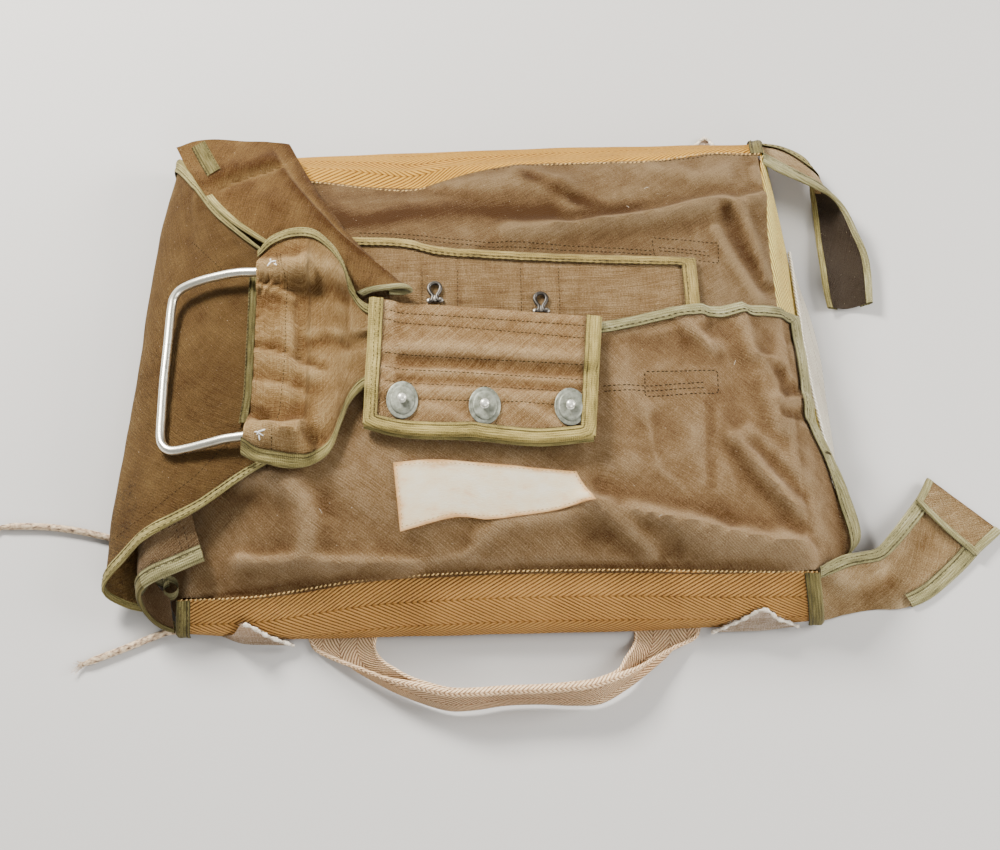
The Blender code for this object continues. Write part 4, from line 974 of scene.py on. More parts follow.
FRONT_CREASES = (
    ridge(5, 3.0, 60.5, -120.9, 83.6, -127.8, 106.8, -134.5, 137.2, -139.3, 165.4, -146.5,
          200, -150.8, sharp=True),
    ridge(5, 2.0, 69.6, -130, 90, -146, 99.4, -153),
    ridge(9, 2.4, 104, -144, 150, -152, 196, -158),
    ridge(6, -2.4, 80, -126, 104, -142, 116, -150),
    ridge(10, -4.0, 70, -112, 120, -120, 170, -134),
    ridge(5, 1.8, 101, -60, 103, -84, 106, -100, 128, -118, sharp=True),
    ridge(8, -2.8, 110, -84, 128, -112, 150, -134),
    ridge(4, -1.6, 142.8, -53.9, 140.3, -85.6, 139.4, -109.5),
    ridge(4, 1.6, 158.2, -80, 175.9, -104.2, 193.8, -125.2, sharp=True),
    ridge(6, 1.6, 166, -72, 190, -92, 204, -100),
    ridge(6, -2.4, 172, -84, 192, -106, 206, -124),
    ridge(2.4, 1.5, 123.8, 5.8, 131.3, -4.3, 137.7, -7.7, sharp=True),
    ridge(2.4, 1.6, 131.4, 1.7, 142.2, -9.6, 147.3, -14.1, sharp=True),
    ridge(2.6, 2.3, 169.5, 18, 173.2, -1.1, 173.8, -17.3, 182.2, -24.6, 188, -34.7, 189.8, -49.7,
          186.8, -68.3, sharp=True),
    ridge(2.6, 1.7, 173.6, -18.8, 189.8, -18.2, 199.1, -21.2, 200.6, -27.5, sharp=True),
    ridge(5, -2.4, 193, -28, 197, -38, 194, -48),
    ridge(5, 3.8, 189.6, -51.3, 208.2, -43.2, 218.7, -45.7, 225, -50),
    ridge(3.5, -3.2, 190, -58, 206, -54, 222, -59),
    ridge(9, -2.2, 150, -50, 158, -66, 162, -80),
    ridge(8, -2.6, -103.7, -113.1, -91.4, -126.1, -66.5, -139.7, -41.7, -148.1, -25.7, -144.9),
    ridge(5, 2.2, -162.5, -142.8, -130.4, -147.3, -92.6, -152.4, -54.9, -155.7, -42, -151.4,
          -16.4, -148.7),
    ridge(6, 1.6, -9.8, -141.2, 3.2, -133.1, 28.6, -131.1, 47.6, -129.6),
    ridge(12, 1.4, 78, -20, 96, -60, 92, -90),
)
front_canvas = canvas_cloth("front_flap_canvas", (0.240, 0.145, 0.063), right_side_light=0.1)
pale_tape = binding_tape("pale_tape", (0.042, 0.035, 0.012), (0.192, 0.170, 0.074),
                         (0.323, 0.303, 0.180))
front_flap = patch(
    front=((-218, -158), (-150, -164), (-80, -160), (0, -159), (80, -161), (150, -164), (205, -163),
           (226, -146)),
    back=((-197, -46), (-80, -14), (0, -8), (78, 1), (124, 12), (168, 18), (212, 27)),
    left=((-218, -158), (-208, -110), (-197, -46)),
    right=((226, -146), (238, -130), (233, -98), (226, -74), (214, -52), (213, -20), (212, 27)),
    cell=2.3, ends=(False, True), sides=(False, True))
front_flap = even_sides(front_flap, 8.0, low=False)
front_flap = spread(front_flap, FRONT_FOLDS + FRONT_CREASES, 0.5, seed=3)
to_right = np.clip((front_flap[..., 0] + 40) / 160, 0.35, 1)
front_flap[..., 2] += to_right * (crumple(front_flap, 30.0, 0.7, 11)
                                  + crumple(front_flap, 12.0, 0.18, 17))
front_flap = lay(front_flap, ["pack_body_canvas", "back_flap_cloth", "hook_panel_side_tape",
                              "right_wall_webbing", "front_wall_webbing", *PANEL], CLEAR)
front_sheet = cloth("front_flap_cloth", front_flap, CANVAS, front_canvas, "canvas",
                    "front_flap", bias=-42)
# the cloth that the pieces on the left and the cover flap lie on
CROWN = ["pack_body_canvas", "front_flap_cloth", "back_flap_cloth"]
COVERED = 66.0          # the tape starts under the cover flap
open_edge = (int(np.argmax(front_flap[:, -1, 0] > COVERED)), None)
front_tapes = [tape("front_flap_back_tape", front_flap, "high", CANVAS, pale_tape,
                    "front_flap_binding", span=open_edge, mitre=(False, True)),
               tape("front_flap_right_tape", front_flap, "end", CANVAS, pale_tape,
                    mitre=(False, True))]
stitched("front_flap_stitches", dark_thread, "canvas",
         (tape_lines(front_flap, CANVAS, ["high"], span=open_edge, mitre=(False, True))
          + tape_lines(front_flap, CANVAS, ["end"], mitre=(False, True)), Stitch()),
         (dropped_on("front_flap_cloth",
                     ((101, -34), (149, -31), (148.5, -46.5), (100, -52), (101, -34)),
                     ((72, -44), (101, -44.5), (142, -39.5)),
                     ((72, -47.5), (101, -48), (140, -43.5))),
          Stitch(2.5, 0.6, 0.85)))
crossing = []
for x, y, lean in ((233, -98, 0.1), (236, -112, -0.3), (226, -74, 0.2), (219, -60, 0.4)):
    for dx in (0.0, 1.0):
        line, up = dropped(((x - 9, y + dx), (x + 1, y + dx + lean * 6)),
                           ["front_flap_right_tape", "front_flap_cloth"], step=1.0)
        crossing.append((line + up * 0.2, up))
stitched("front_flap_cross_threads", dark_thread, "canvas",
         (crossing, Stitch(9, 0.5, 0.7)))

# loose threads on the flaps: place, heading, length and the cloth that they lie on
LINT = ((112.6, 112.9, 0.5, 5, "back_flap_cloth"), (98.9, 96.9, 2.4, 4, "back_flap_cloth"),
        (161.2, -24.4, 1.2, 5, "front_flap_cloth"), (104.3, -134.5, 0.2, 3, "front_flap_cloth"),
        (-167.3, -92.7, 1.0, 4, "front_flap_cloth"), (-110.2, -119.1, 2.2, 5, "front_flap_cloth"),
        (-90, -118, 0.4, 3, "front_flap_cloth"), (128, 30, 2.0, 4, "back_flap_cloth"))
loose = []
for x, y, heading, reach, name in LINT:
    reach_x, reach_y = math.cos(heading) * reach / 2, math.sin(heading) * reach / 2
    line, up = dropped(((x - reach_x, y - reach_y), (x, y + 0.8), (x + reach_x, y + reach_y)),
                       [name], step=0.8)
    loose.append((line + up * 0.25, up))
stitched("flap_lint", sewing_thread("lint", (0.50, 0.42, 0.30), (0.72, 0.64, 0.50)), "canvas",
         (loose, Stitch(1.6, -0.4, 0.38)))

# ------------ label
# A plain cotton label: bare cream cloth, stained orange round its edge and caught down by a
# row of small stitches.
LABEL = 0.7
LABEL_CELL = 2.0


def stained_cotton():
    """Cream cotton, its stains strongest at the edge."""
    look = Finish("stained_cotton", 0.9, sheen=0.1)
    at = look.weave()
    weave = look.specks(at, 1.0, 2.0, stretch=(0.35, 1.4))
    total = look.raised(look.attribute("stain"),
                        (look.specks(at, 1.0, 4.0, 0.65, stretch=(0.05, 0.09)), 0.9), (weave, 0.14))
    return look.done(look.ramp(total, (0.40, (0.97, 0.90, 0.72)), (0.60, (0.95, 0.82, 0.56)),
                               (0.80, (0.84, 0.56, 0.27)), (1.0, (0.62, 0.35, 0.13))),
                     weave, 0.25)


label_cloth = patch(
    front=((-60, -135), (-25, -128), (-3, -130), (22, -128), (64, -124)),
    back=((-63, -92), (-38, -91), (-11, -94), (53, -102)),
    right=((64, -124), (57, -111), (53, -102)),
    cell=LABEL_CELL)
label_cloth = lay(spread(label_cloth, FRONT_FOLDS, 2.0, slack=0.3, seed=3),
                  ["front_flap_cloth"], LABEL / 2 + 0.5, soft=3)
label_normal = normals(label_cloth)
label = finished("label_cotton", woven(label_cloth, cut_flat(label_cloth), LABEL, label_normal),
                 stained_cotton(), "label_cloth", "label")
rows, columns = label_cloth.shape[0] - 1, label_cloth.shape[1] - 1
stain = label.data.attributes.new("stain", "FLOAT", "POINT")
for number, vert in enumerate(label.data.vertices):
    near = np.abs(label_cloth[..., :2] - np.array(vert.co)[:2] / MM).sum(axis=-1)
    i, j = np.unravel_index(int(near.argmin()), near.shape)
    margin = min(i, rows - i, j, columns - j) * LABEL_CELL
    stain.data[number].value = 0.42 * math.exp(-margin / 2.4)
edging = []
for side in ("start", "end", "low", "high"):
    line, up = from_edge(label_cloth, side)[1], from_edge(label_normal, side)[1]
    edging.append((line + up * 0.4, up))
stitched("label_stitches", gold_thread, "label_cloth",
         (edging, Stitch(1.9, 1.0, 0.4)))

# ------------ front left ear
# A strip of the front wall's lining runs on past its corner, turns up and over, and lies on
# the corner of the pack, its inside up.  Tape binds its front edge and curls under it.
EAR_FRONT_LEFT = (
    (-207.4, -176, 6.5, -207.4, -170, 17, -207.4, -162, 28),
    (-216, -173, 8, -216, -164, 18, -215, -153, 27),
    (-223, -168, 11, -224, -156, 20, -223, -142, 27),
    (-227.5, -163, 17, -228.5, -149, 24, -228, -133, 29),
    (-228.5, -159, 25, -230, -144, 31, -229, -128, 36),
    (-225, -156, 33, -226.5, -141, 38.5, -226, -125, 43),
    (-217, -153, 38, -218, -138, 43, -218, -122, 46.5),
    (-205, -149.5, 41, -207, -134, 45, -208, -118.5, 48.5),
    (-185, -142, 43, -189, -128, 46, -193, -112, 49),
)
ear_canvas = canvas_cloth("ear_canvas", (0.200, 0.130, 0.065))
# A near-black canvas: painted shade on inner faces in the hollow under the left flap and on the far
# part of the back right ear.
shaded_inside_canvas = canvas_cloth("shaded_inside_canvas", (0.034, 0.021, 0.011))
ear = loft(EAR_FRONT_LEFT, 2.4, sides=(True, False))
turned, pale_from = int(len(ear) * 0.66), int(len(ear) * 0.52)
ear = lay(ear, ["pack_body_canvas", "front_flap_cloth"], CLEAR + 0.3,
          rows=slice(turned, None), soft=3)
ear_sheet = cloth("ear_front_left_cloth", ear, CANVAS, ear_canvas, "canvas", "ear_front_left",
                  bias=20)
ear_tape = tape("ear_front_left_tape", ear, "low", CANVAS, pale_tape, "ear_front_left_binding",
                span=(pale_from, None))
root_tape = tape("ear_front_left_root_tape", ear, "low", CANVAS, dark_olive, span=(0, pale_from))
curl = [(-226.5, -157, 21), (-223, -152.5, 22), (-218, -151, 23.5)]
for angle in np.linspace(2.6, -4.6, 22):
    radius = 5.4 - 0.36 * (2.6 - angle)
    curl.append(np.array([-208.5, -156.5, 25.0]) + radius * np.array(
        [math.cos(angle), math.sin(angle), 0.45 * math.sin(angle)]))
curl = along(curl, np.linspace(0, 1, 56))
rolled = curl[:, None] + np.linspace(0, 8.0, 5)[None, :, None] * np.array([0.1, 0.22, 0.95])
roll_tape = finished("ear_front_left_rolled_tape",
                     woven(rolled, cut_flat(rolled), 1.7, normals(rolled)), pale_tape, "binding",
                     smooth=70)
ear_faces = ear + normals(ear) * 0.75, normals(ear)
stitched("ear_front_left_stitches", dark_thread, "canvas",
         (tape_lines(ear, CANVAS, ["low"], span=(int(len(ear) * 0.55), None)), Stitch(3.0)),
         ([[part[row, 3:-1] for part in ear_faces] for row in (-4, -6)], Stitch(2.6, 1.2)),
         ([[part[turned:-3, -2] for part in ear_faces]], Stitch(2.4, 1.6)))

# ------------ left flap
# It comes up from under the pack's left side, stands off it in a round belly and closes over
# the top.  Both edges are bound; under the front one, the inner faces of the hollow beneath the
# flap are painted near-black as shade.
LEFT_FLAP = (
    (-132, -82, 69, -160, -96, 63, -188, -113, 56, -216, -125, 47, -238, -138, 35, -253, -150, 18,
     -240, -157, 6.5, -221, -162, 6),
    (-130, -60, 71, -160, -64, 65, -190, -72, 56, -216, -80, 46, -236, -88, 32, -249, -96, 18,
     -238, -100, 7, -219, -100, 7),
    (-128, -15, 73, -158, -15, 66, -188, -15, 56, -212, -15, 45, -229, -15, 32, -238, -15, 18,
     -231, -15, 7, -219, -15, 7),
    (-128, 35, 72, -156, 38, 65, -184, 42, 55, -206, 44, 44, -222, 45, 32, -232, 45, 18,
     -227, 45, 7, -218, 45, 7),
    (-130, 50, 70.5, -157, 70, 62.5, -182, 90, 53, -202, 100, 42, -216, 105, 31, -225, 107, 18,
     -222, 107, 7, -216, 106, 7),
    (-141, 65, 68.5, -162, 89, 61, -177, 112, 54, -191, 138, 45.5, -201, 158, 36, -210, 176, 20,
     -211, 177, 8, -208, 174, 6),
)
left_canvas = canvas_cloth("left_flap_canvas", (0.152, 0.086, 0.026))
olive_tape = binding_tape("olive_tape", (0.039, 0.030, 0.008), (0.182, 0.149, 0.049),
                          (0.314, 0.270, 0.115))
left_flap = loft(LEFT_FLAP, 3.2, ends=(True, True))
over_pack = slice(0, int(left_flap.shape[1] * 0.62))
bulge = np.stack([ripples(left_flap[..., 1], left_flap[..., 2], size, height, size)
                  for size, height in ((48.0, 1.2), (19.0, 0.4))]).sum(axis=0)
left_flap = lay(swollen(left_flap, bulge),
                CROWN + ["ear_front_left_cloth", "ear_front_left_tape"], CLEAR + 0.9,
                columns=over_pack, soft=4)
left_sheet = cloth("left_flap_cloth", left_flap, CANVAS, left_canvas, "canvas", "left_flap",
                   bias=45)
left_tapes = [tape("left_flap_front_tape", left_flap, "start", CANVAS, olive_tape,
                   "left_flap_front_binding"),
              tape("left_flap_back_tape", left_flap, "end", CANVAS, olive_tape,
                   "left_flap_back_binding")]
# Inner faces in the hollow under the flap's front take the near-black canvas: painted shade.
left_sheet.data.materials.append(shaded_inside_canvas)
for face in left_sheet.data.polygons:
    inwards = face.normal.x > 0.05 or (face.center.z < 0.012 and face.normal.z > 0.3)
    if inwards and face.center.z < 0.036 and face.center.y < -0.08:
        face.material_index = 1
stitched("left_flap_stitches", dark_thread, "canvas",
         (tape_lines(left_flap, CANVAS, ("start", "end"), (2.05, 0.5)), Stitch(thick=0.5)),
         (dropped_on("left_flap_cloth",
                     ((-247, -118), (-220, -108), (-190, -89), (-171, -71), (-158, -58)),
                     ((-198, 94), (-184, 74), (-175, 62))),
          Stitch(2.4, 0.8, 0.55)))

# ------------ back left corner flap
# The long ear of the back wall comes over the corner and lies along the pack to the middle.
# Its cloth is folded back under itself, so its right side is a round raised fold.
CORNER_FLAP = (
    ((-211, 178, 33), (-190, 180, 37.5), (-160, 176, 43), (-131, 164, 49), 5),
    ((-200, 150, 42), (-174, 147, 51), (-143, 140, 60), (-117, 127, 61), 7),
    ((-183, 117, 54), (-155, 113, 63), (-126, 109, 72), (-104, 100, 69), 8),
    ((-162, 90, 65), (-139, 87, 71), (-112, 82, 79), (-89, 73, 75), 8),
    ((-128, 60, 74), (-112, 57, 79), (-91, 54, 86), (-72, 50, 80), 8),
    ((-97, 39, 79), (-88, 38, 84), (-73, 35, 89), (-57, 33, 83), 8),
    ((-80, 25, 82), (-72, 25, 86.5), (-62, 25, 90), (-48, 24.5, 87), 8),
)
CORNER_FOLDS = (
    ridge(3.6, -5.0, -192, 127, -177.5, 131, -156, 137.5, -136, 141, sharp=True),
    ridge(8, 2.6, -192, 138, -168, 144, -138, 150),
    ridge(6.5, 3.6, -136, 142, -119, 111, -101, 81, -79, 55, -60, 38, sharp=True),
)
CROSS_TAPE_SECTION = ((-5.5, 0.45), (-4.6, 1.1), (-1.6, 1.25), (0, 1.0), (1.6, 1.25), (4.6, 1.1),
                      (5.5, 0.45))


def folded(section):
    """A section of the corner flap with its round fold and the cloth turned under."""
    edge, inner, shoulder, outermost = (np.array(p, float) for p in section[:4])
    run = unit((outermost - shoulder) * (1, 1, 0))
    half = np.array([0, 0, section[4] / 2])
    return (edge, inner, outermost - run * 5 + half, outermost,
            outermost - run * 5 - half, outermost - run * 15 - half)


corner_canvas = canvas_cloth("corner_flap_canvas", (0.198, 0.112, 0.036))
corner = loft([folded(section) for section in CORNER_FLAP], 2.6, ends=(False, True),
              sides=(True, False))
wave = (1.6 * np.sin(corner[..., 0] / 17.0 + corner[..., 1] / 31.0)
        + ripples(*plan(corner), 30.0, 2.2, 9) + ripples(*plan(corner), 13.0, 0.8, 4))
across = np.linspace(0, 1, corner.shape[1])
corner[..., 2] += wave * (np.clip(3.2 * across, 0, 1) * np.clip(1.9 - 1.9 * across, 0, 1))
top_side = across < 0.66
corner[:, top_side, 2] += fold_height(CORNER_FOLDS, *plan(corner[:, top_side]))
corner = lay(corner, ["pack_body_canvas", "back_wall_webbing", "back_flap_cloth", *PANEL,
                      "left_flap_cloth", "left_flap_back_tape"], CLEAR + 0.2, soft=2)[:, ::-1]
corner_sheet = cloth("corner_flap_cloth", corner, CANVAS, corner_canvas, "canvas",
                     "corner_flap", bias=35)
bound = int(len(corner) * 0.30), int(len(corner) * 0.62)
corner_tapes = [tape("corner_flap_left_tape", corner, "high", CANVAS, olive_tape,
                     "corner_flap_binding", span=bound),
                tape("corner_flap_tip_tape", corner, "end", CANVAS, pale_tape)]
cross_line, cross_up = dropped(((-195, 176), (-182, 143)), ["corner_flap_cloth"], step=2.0)
sideways = unit(np.cross(cross_up, np.gradient(cross_line, axis=0)))
cross_grid = np.stack([cross_line + sideways * aside + cross_up * rise
                       for aside, rise in CROSS_TAPE_SECTION], axis=1)
corner_seam = dropped_on("corner_flap_cloth", ((-203, 165), (-192, 140), (-178, 112)))
finished("corner_flap_cross_tape", woven(cross_grid, cut_flat(cross_grid), TAPE,
                                         normals(cross_grid)), olive_tape, "binding", smooth=70)
stitched("corner_flap_stitches", dark_thread, "canvas",
         (tape_lines(corner, CANVAS, ["high"], span=bound), Stitch(thick=0.5)),
         (corner_seam, Stitch(2.2, 1.2, 0.4)),
         (tape_lines(corner, CANVAS, ["end"])
          + [(cross_grid[:, column] + cross_up * 0.35, cross_up) for column in (1, 5)],
          Stitch(thick=0.5)))

# ------------ ripcord handle
# A bent steel rod, 6 mm thick, whose two ends go into the mouth of its pocket.  It is bright
# drawn steel with fine lengthwise scratches and a duller bend at each corner.
ROD = 3.0
HANDLE_PATH = (
    (-116, 44, 84), (-133, 46, 80), (-150, 48.4, 76), (-162, 50.5, 72.5), (-175, 51.5, 67.5),
    (-190, 51.5, 61), (-201, 50, 55.5), (-206.5, 46, 52.5), (-208.8, 38, 51), (-210.8, 10, 50),
    (-212.6, -16, 50), (-213.6, -41, 50), (-213.8, -58, 50.5), (-211.5, -65.5, 51.5),
    (-206, -69.8, 53.5), (-196, -70.8, 57.5), (-181, -70.6, 64), (-170, -70.2, 68.5),
    (-157.5, -71, 73), (-140, -72, 79), (-122, -73, 83.5),
)


def drawn_steel(name, dull, bright, roughness=0.26):
    """Drawn wire: scratches along it, and clouds where it has gone dull."""
    look = Finish(name, roughness, metallic=1.0)
    scratch = look.specks(look.weave(), 1.0, 3.0, stretch=(0.05, 1.6))
    mixed = look.calc("ADD", look.calc("MULTIPLY", scratch, 0.5),
                      look.calc("MULTIPLY", look.specks(look.place(), 60.0, 4.0, 0.6), 0.5))
    rough = look.add("MapRange", mixed, 0.35, 0.65, roughness + 0.16, roughness - 0.06)
    return look.done(look.ramp(mixed, (0.34, dull), (0.52, bright)), scratch, 0.06, rough)


steel = drawn_steel("drawn_steel", (0.42, 0.385, 0.30), (0.88, 0.85, 0.72))
handle_line = along(HANDLE_PATH, np.linspace(0, 1, 150))
handle_line[:, 2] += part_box("ripcord_handle")[1].z / MM - ROD - handle_line[:, 2].max()
finished("ripcord_handle_rod", tube(handle_line, ROD, 24), steel, "steel", "ripcord_handle",
         smooth=60)

# ------------ handle pocket
# A pocket of lighter cloth covers both ends of the handle, in two plies.  Its mouth on the left
# is gathered and hemmed, and its sides narrow in a curve towards the cover flap.
MOUTH = ((-159, -82), (-153, -38), (-151, 12), (-149, 67))
PLEATS = ((0.55, 0.93, 0.4), (0.40, 1.57, 2.1), (0.22, 2.6, 4.0))
PIPING_SECTION = ((-1.2, 0.8), (-0.6, 2.6), (0.5, 3.6), (2.2, 3.4), (4.2, 2.6))
POCKET_GATHERS = (
    ridge(2.6, -3.6, -151, 41.5, -138, 38, -128, 34.5, -112, 35, sharp=True),
    ridge(3.4, 2.2, -150, 37, -138, 33.5, -127, 28),
    ridge(3.0, -3.2, -152, -3.8, -141, -6.6, -131, -11.9, -122, -16, -107, -23, sharp=True),
    ridge(5.0, 1.8, -152, -10, -140, -13, -128, -19, -112, -28),
    ridge(2.6, -1.7, -119, -5, -107, -3.4, -98, -4.5, -91, -9.5, sharp=True),
    ridge(4.0, 1.0, -118, 0, -106, 1.2, -96, -0.5),
    ridge(3.0, -2.2, -153, -26.5, -141, -29.5, -126, -35, -112, -41, sharp=True),
    ridge(5.0, 1.4, -153, -32, -140, -35, -122, -42),
    ridge(3.4, -4.4, -156, -50, -147, -57, -136, -63, -122, -70, -109, -74, sharp=True),
    ridge(3.4, 1.6, -156, -57, -143, -67, -130, -75, -118, -80),
    ridge(7.0, 1.2, -118, 52, -104, 38, -97, 20),
    ridge(7.0, 1.3, -112, -62, -100, -48, -90, -36),
)
UNDER_POCKET = CROWN + ["left_flap_cloth", "left_flap_front_tape", "left_flap_back_tape",
                        "corner_flap_cloth", "corner_flap_tip_tape", "ripcord_handle_rod"]
pocket_linen = plain_linen("pocket_linen", (0.310, 0.188, 0.071))
pocket = patch(
    front=((-159, -82), (-148, -89), (-131, -92), (-115, -91), (-103, -83), (-96, -66), (-89, -50),
           (-79, -41), (-64, -39)),
    back=((-149, 67), (-140, 74), (-125, 76.5), (-110, 72), (-99, 60), (-92, 46), (-87, 30),
          (-78, 18), (-64, 14)),
    left=MOUTH,
    cell=1.9, sides=(True, True))
pocket = even_sides(pocket, 7.0)
pocket = spread(pocket, (), 4.0, slack=0.5, seed=31)
pocket = lay(pocket, UNDER_POCKET + PANEL + ["corner_flap_left_tape"], LINEN_CLEAR + 4.8, soft=5)
pocket[..., 2] = blurred(pocket[..., 2], 2)
pocket[..., 2] += 1.35 * fold_height(POCKET_GATHERS, *plan(pocket))
from_mouth = pocket[..., 0] - np.interp(pocket[..., 1], [p[1] for p in MOUTH],
                                        [p[0] for p in MOUTH])
pleats = sum(height * np.sin(pocket[..., 1] * turn + shift + 0.6 * np.sin(pocket[..., 1] / 9))
             for height, turn, shift in PLEATS)
between = np.clip((58 - np.abs(pocket[..., 1] + 7)) / 12, 0, 1)
pocket[..., 2] += pleats * np.exp(-np.clip(from_mouth, 0, None) / 9.0) * between
pocket = lay(pocket, UNDER_POCKET, LINEN_CLEAR, soft=1)
pocket_sheet = cloth("handle_pocket_cloth", pocket, LINEN, pocket_linen, "linen",
                     "handle_pocket")
pocket_tapes = [tape(f"handle_pocket_{end}_tape", pocket, side, LINEN, olive_tape,
                     f"pocket_{end}_binding") for end, side in (("front", "low"), ("back", "high"))]
piping_line, piping_up = dropped(((-159, -58), (-156, -38), (-154, 12), (-153, 50)),
                                 ["left_flap_cloth"], step=2.0)
piping_up = unit(piping_up + (-0.6, 0, 0))
piping = np.stack([piping_line + np.array([aside, 0, 0]) + piping_up * rise
                   for aside, rise in PIPING_SECTION], axis=1)
finished("handle_pocket_mouth_edge", woven(piping, cut_flat(piping), 0.9, normals(piping)),
         olive_tape, "linen", smooth=70)
stitched("handle_pocket_stitches", dark_thread, "linen",
         ([(piping[:, 2] + piping_up * 0.5, piping_up)], Stitch(2.0, 1.0, 0.5)),
         (tape_lines(pocket, LINEN, ("low", "high"), (2.05, 0.5)),
          Stitch(2.0, 1.3, 0.42)),
         (dropped_on("handle_pocket_cloth",
                     ((-134, 60), (-132.8, 47.7), (-129.5, 36), (-130.7, 13.5), (-131.3, -18.6),
                      (-134.6, -54.6), (-137, -62)),
                     ((-138, -70), (-139.5, -84)), ((-137, 62), (-134, 46))),
          Stitch(1.9, 0.8, 0.55)))

# white tacks hold the handle's ends in both corners of the mouth
TACKS = ((0.2, 2.6), (0.9, 2.2), (1.7, 2.4), (2.5, 2.7), (2.9, 1.8))
tack_rows = []
for tack_x, tack_y in ((-139.8, 49.5), (-147.2, -74.5)):
    for angle, reach in TACKS:
        off = np.array([math.cos(angle), math.sin(angle)]) * 2 * reach
        path = ((tack_x - off[0], tack_y - off[1]), (tack_x + off[0], tack_y + off[1]))
        tack_rows.append(([dropped(path, ["handle_pocket_cloth"], step=0.5)],
                          Stitch(2 * reach, 40, 1.2)))
stitched("handle_pocket_tacks",
         sewing_thread("white_thread", (0.62, 0.60, 0.54), (0.86, 0.84, 0.78)), "linen", *tack_rows)

# ------------ cover flap
# A stiffened flap in two plies carries the three snap studs.  Its ends and its front edge are
# bound with tape mitred at the corners, and rows of stitching hold its plies together.
COVER_SAG = (
    ridge(4.6, -3.0, -70, -23, -20, -27, 30, -33.5, 63, -37),
    ridge(6.0, 0.8, -70, -13, 0, -19, 60, -28),
    ridge(4.0, -1.8, -70, -35, 0, -41, 63, -48),
    ridge(4.0, 0.9, -40, -58, -20, -66, -12, -74),
    ridge(5.0, 1.0, 12, -52, 24, -62, 40, -72),
    ridge(5.0, 0.6, -66, 14, -10, 8, 40, 2, 62, 0),
)
STITCH_ROWS = (
    ((-67, 11.5), (65, -4)), ((-67.5, 5), (65, -13)), ((-68, -18), (64, -32)),
    ((-68, -29), (63.3, -42.3)), ((-68.4, -39), (63, -51)), ((-68.7, -50.5), (62.3, -61.3)),
)
# the upper ply's tapes: side, mitred corners, the node that each stands for
COVER_SIDES = {"left": ("start", (True, False), ["cover_flap_binding"]),
               "right": ("end", (True, False), []), "front": ("low", (True, True), [])}
cover_linen = plain_linen("cover_linen", (0.327, 0.199, 0.084))
cover_tape = binding_tape("cover_tape", (0.049, 0.035, 0.008), (0.247, 0.191, 0.055),
                          (0.372, 0.300, 0.108))
UNDER_COVER = CROWN + ["front_flap_back_tape", "hook_panel_cloth", "handle_pocket_cloth",
                       "handle_pocket_front_tape", "handle_pocket_back_tape"]


def cover_ply(below, lift, grow, clear):
    """One ply of the cover flap; the lower one stands proud at the front by `grow`."""
    grid = patch(
        front=((-81, -68 - grow), (-54, -76 - grow), (-10, -80 - grow), (30, -85 - grow),
               (65, -83 - grow)),
        back=((-75, 20.5), (74, 2)),
        ends=(True, True), sides=(True, False))
    grid = even_sides(grid, 8.4, high=False)
    grid = lay(spread(grid, COVER_SAG, lift, slack=0.35, seed=12), below, clear, soft=4)
    seams = np.zeros(grid.shape[:2])
    for start, stop in STITCH_ROWS:
        level = np.interp(grid[..., 0], (start[0], stop[0]), (start[1], stop[1]))
        seams += np.exp(-((grid[..., 1] - level) / 1.6) ** 2)
    inside = np.clip((grid[..., 0] + 68) / 4, 0, 1) * np.clip((62 - grid[..., 0]) / 4, 0, 1)
    return swollen(grid, -0.62 * seams * inside)


lower = cover_ply(UNDER_COVER, 5.0, 0.6, LINEN_CLEAR + 0.4)
lower_sheet = cloth("cover_flap_lower_cloth", lower, LINEN, cover_linen, "linen",
                    "cover_flap_lower")
lower_tape = tape("cover_flap_lower_tape", lower, "low", LINEN, olive_tape)
upper = cover_ply(["cover_flap_lower_cloth", "cover_flap_lower_tape"], 8.0, 0.0,
                  LINEN_CLEAR + 0.3)
upper_sheet = cloth("cover_flap_upper_cloth", upper, LINEN, cover_linen, "linen",
                    "cover_flap_upper", bias=48)
cover_tapes = [tape(f"cover_flap_{end}_tape", upper, side, LINEN, cover_tape, *nodes, mitre=mitre)
               for end, (side, mitre, nodes) in COVER_SIDES.items()]
stitched("cover_flap_stitches", dark_thread, "linen",
         *((tape_lines(upper, LINEN, [side], (2.25, 1.3), mitre=mitre),
            Stitch(2.0, 1.1, 0.42)) for side, mitre, _ in COVER_SIDES.values()),
         (dropped_on("cover_flap_upper_cloth", *STITCH_ROWS),
          Stitch(2.3, 0.5, 0.66)))

# ------------ snap studs
# Three pressed zinc snap studs sit on oval plates along the front of the cover flap.  Each
# plate has a rolled rim, a raised disc with a shallow ring and a bright worn ball.
STUD_PLACES = {"snap_stud_left": (-56, -53), "snap_stud_middle": (-3.5, -59.5),
               "snap_stud_right": (51, -62)}
PLATE_TALL = 1.28
PLATE_PROFILE = ((0.05, 2.25), (6.6, 2.3), (7.3, 2.15), (7.8, 1.8), (8.0, 1.3), (8.6, 1.2),
                 (9.6, 1.3), (10.1, 1.0), (10.2, 0.5), (9.8, 0.05), (8.0, 0.0))
BALL_PROFILE = ((3.0, 2.2), (2.3, 2.35), (1.8, 2.7), (1.75, 3.2), (2.2, 3.8), (2.8, 4.4),
                (3.0, 5.0), (2.8, 5.7), (2.2, 6.3), (1.2, 6.7), (0.05, 6.8))


def cast_zinc(name, dark, light, roughness):
    """Grey pressed zinc with clouds and small pits."""
    look = Finish(name, roughness, metallic=0.6)
    place = look.place()
    pits = look.specks(place, 1500.0, 3.0, 0.6)
    rough = look.add("MapRange", pits, 0.35, 0.65, roughness + 0.14, roughness - 0.08)
    return look.done(look.ramp(look.specks(place, 240.0, 5.0, 0.62), (0.36, dark), (0.62, light)),
                     pits, 0.05, rough)


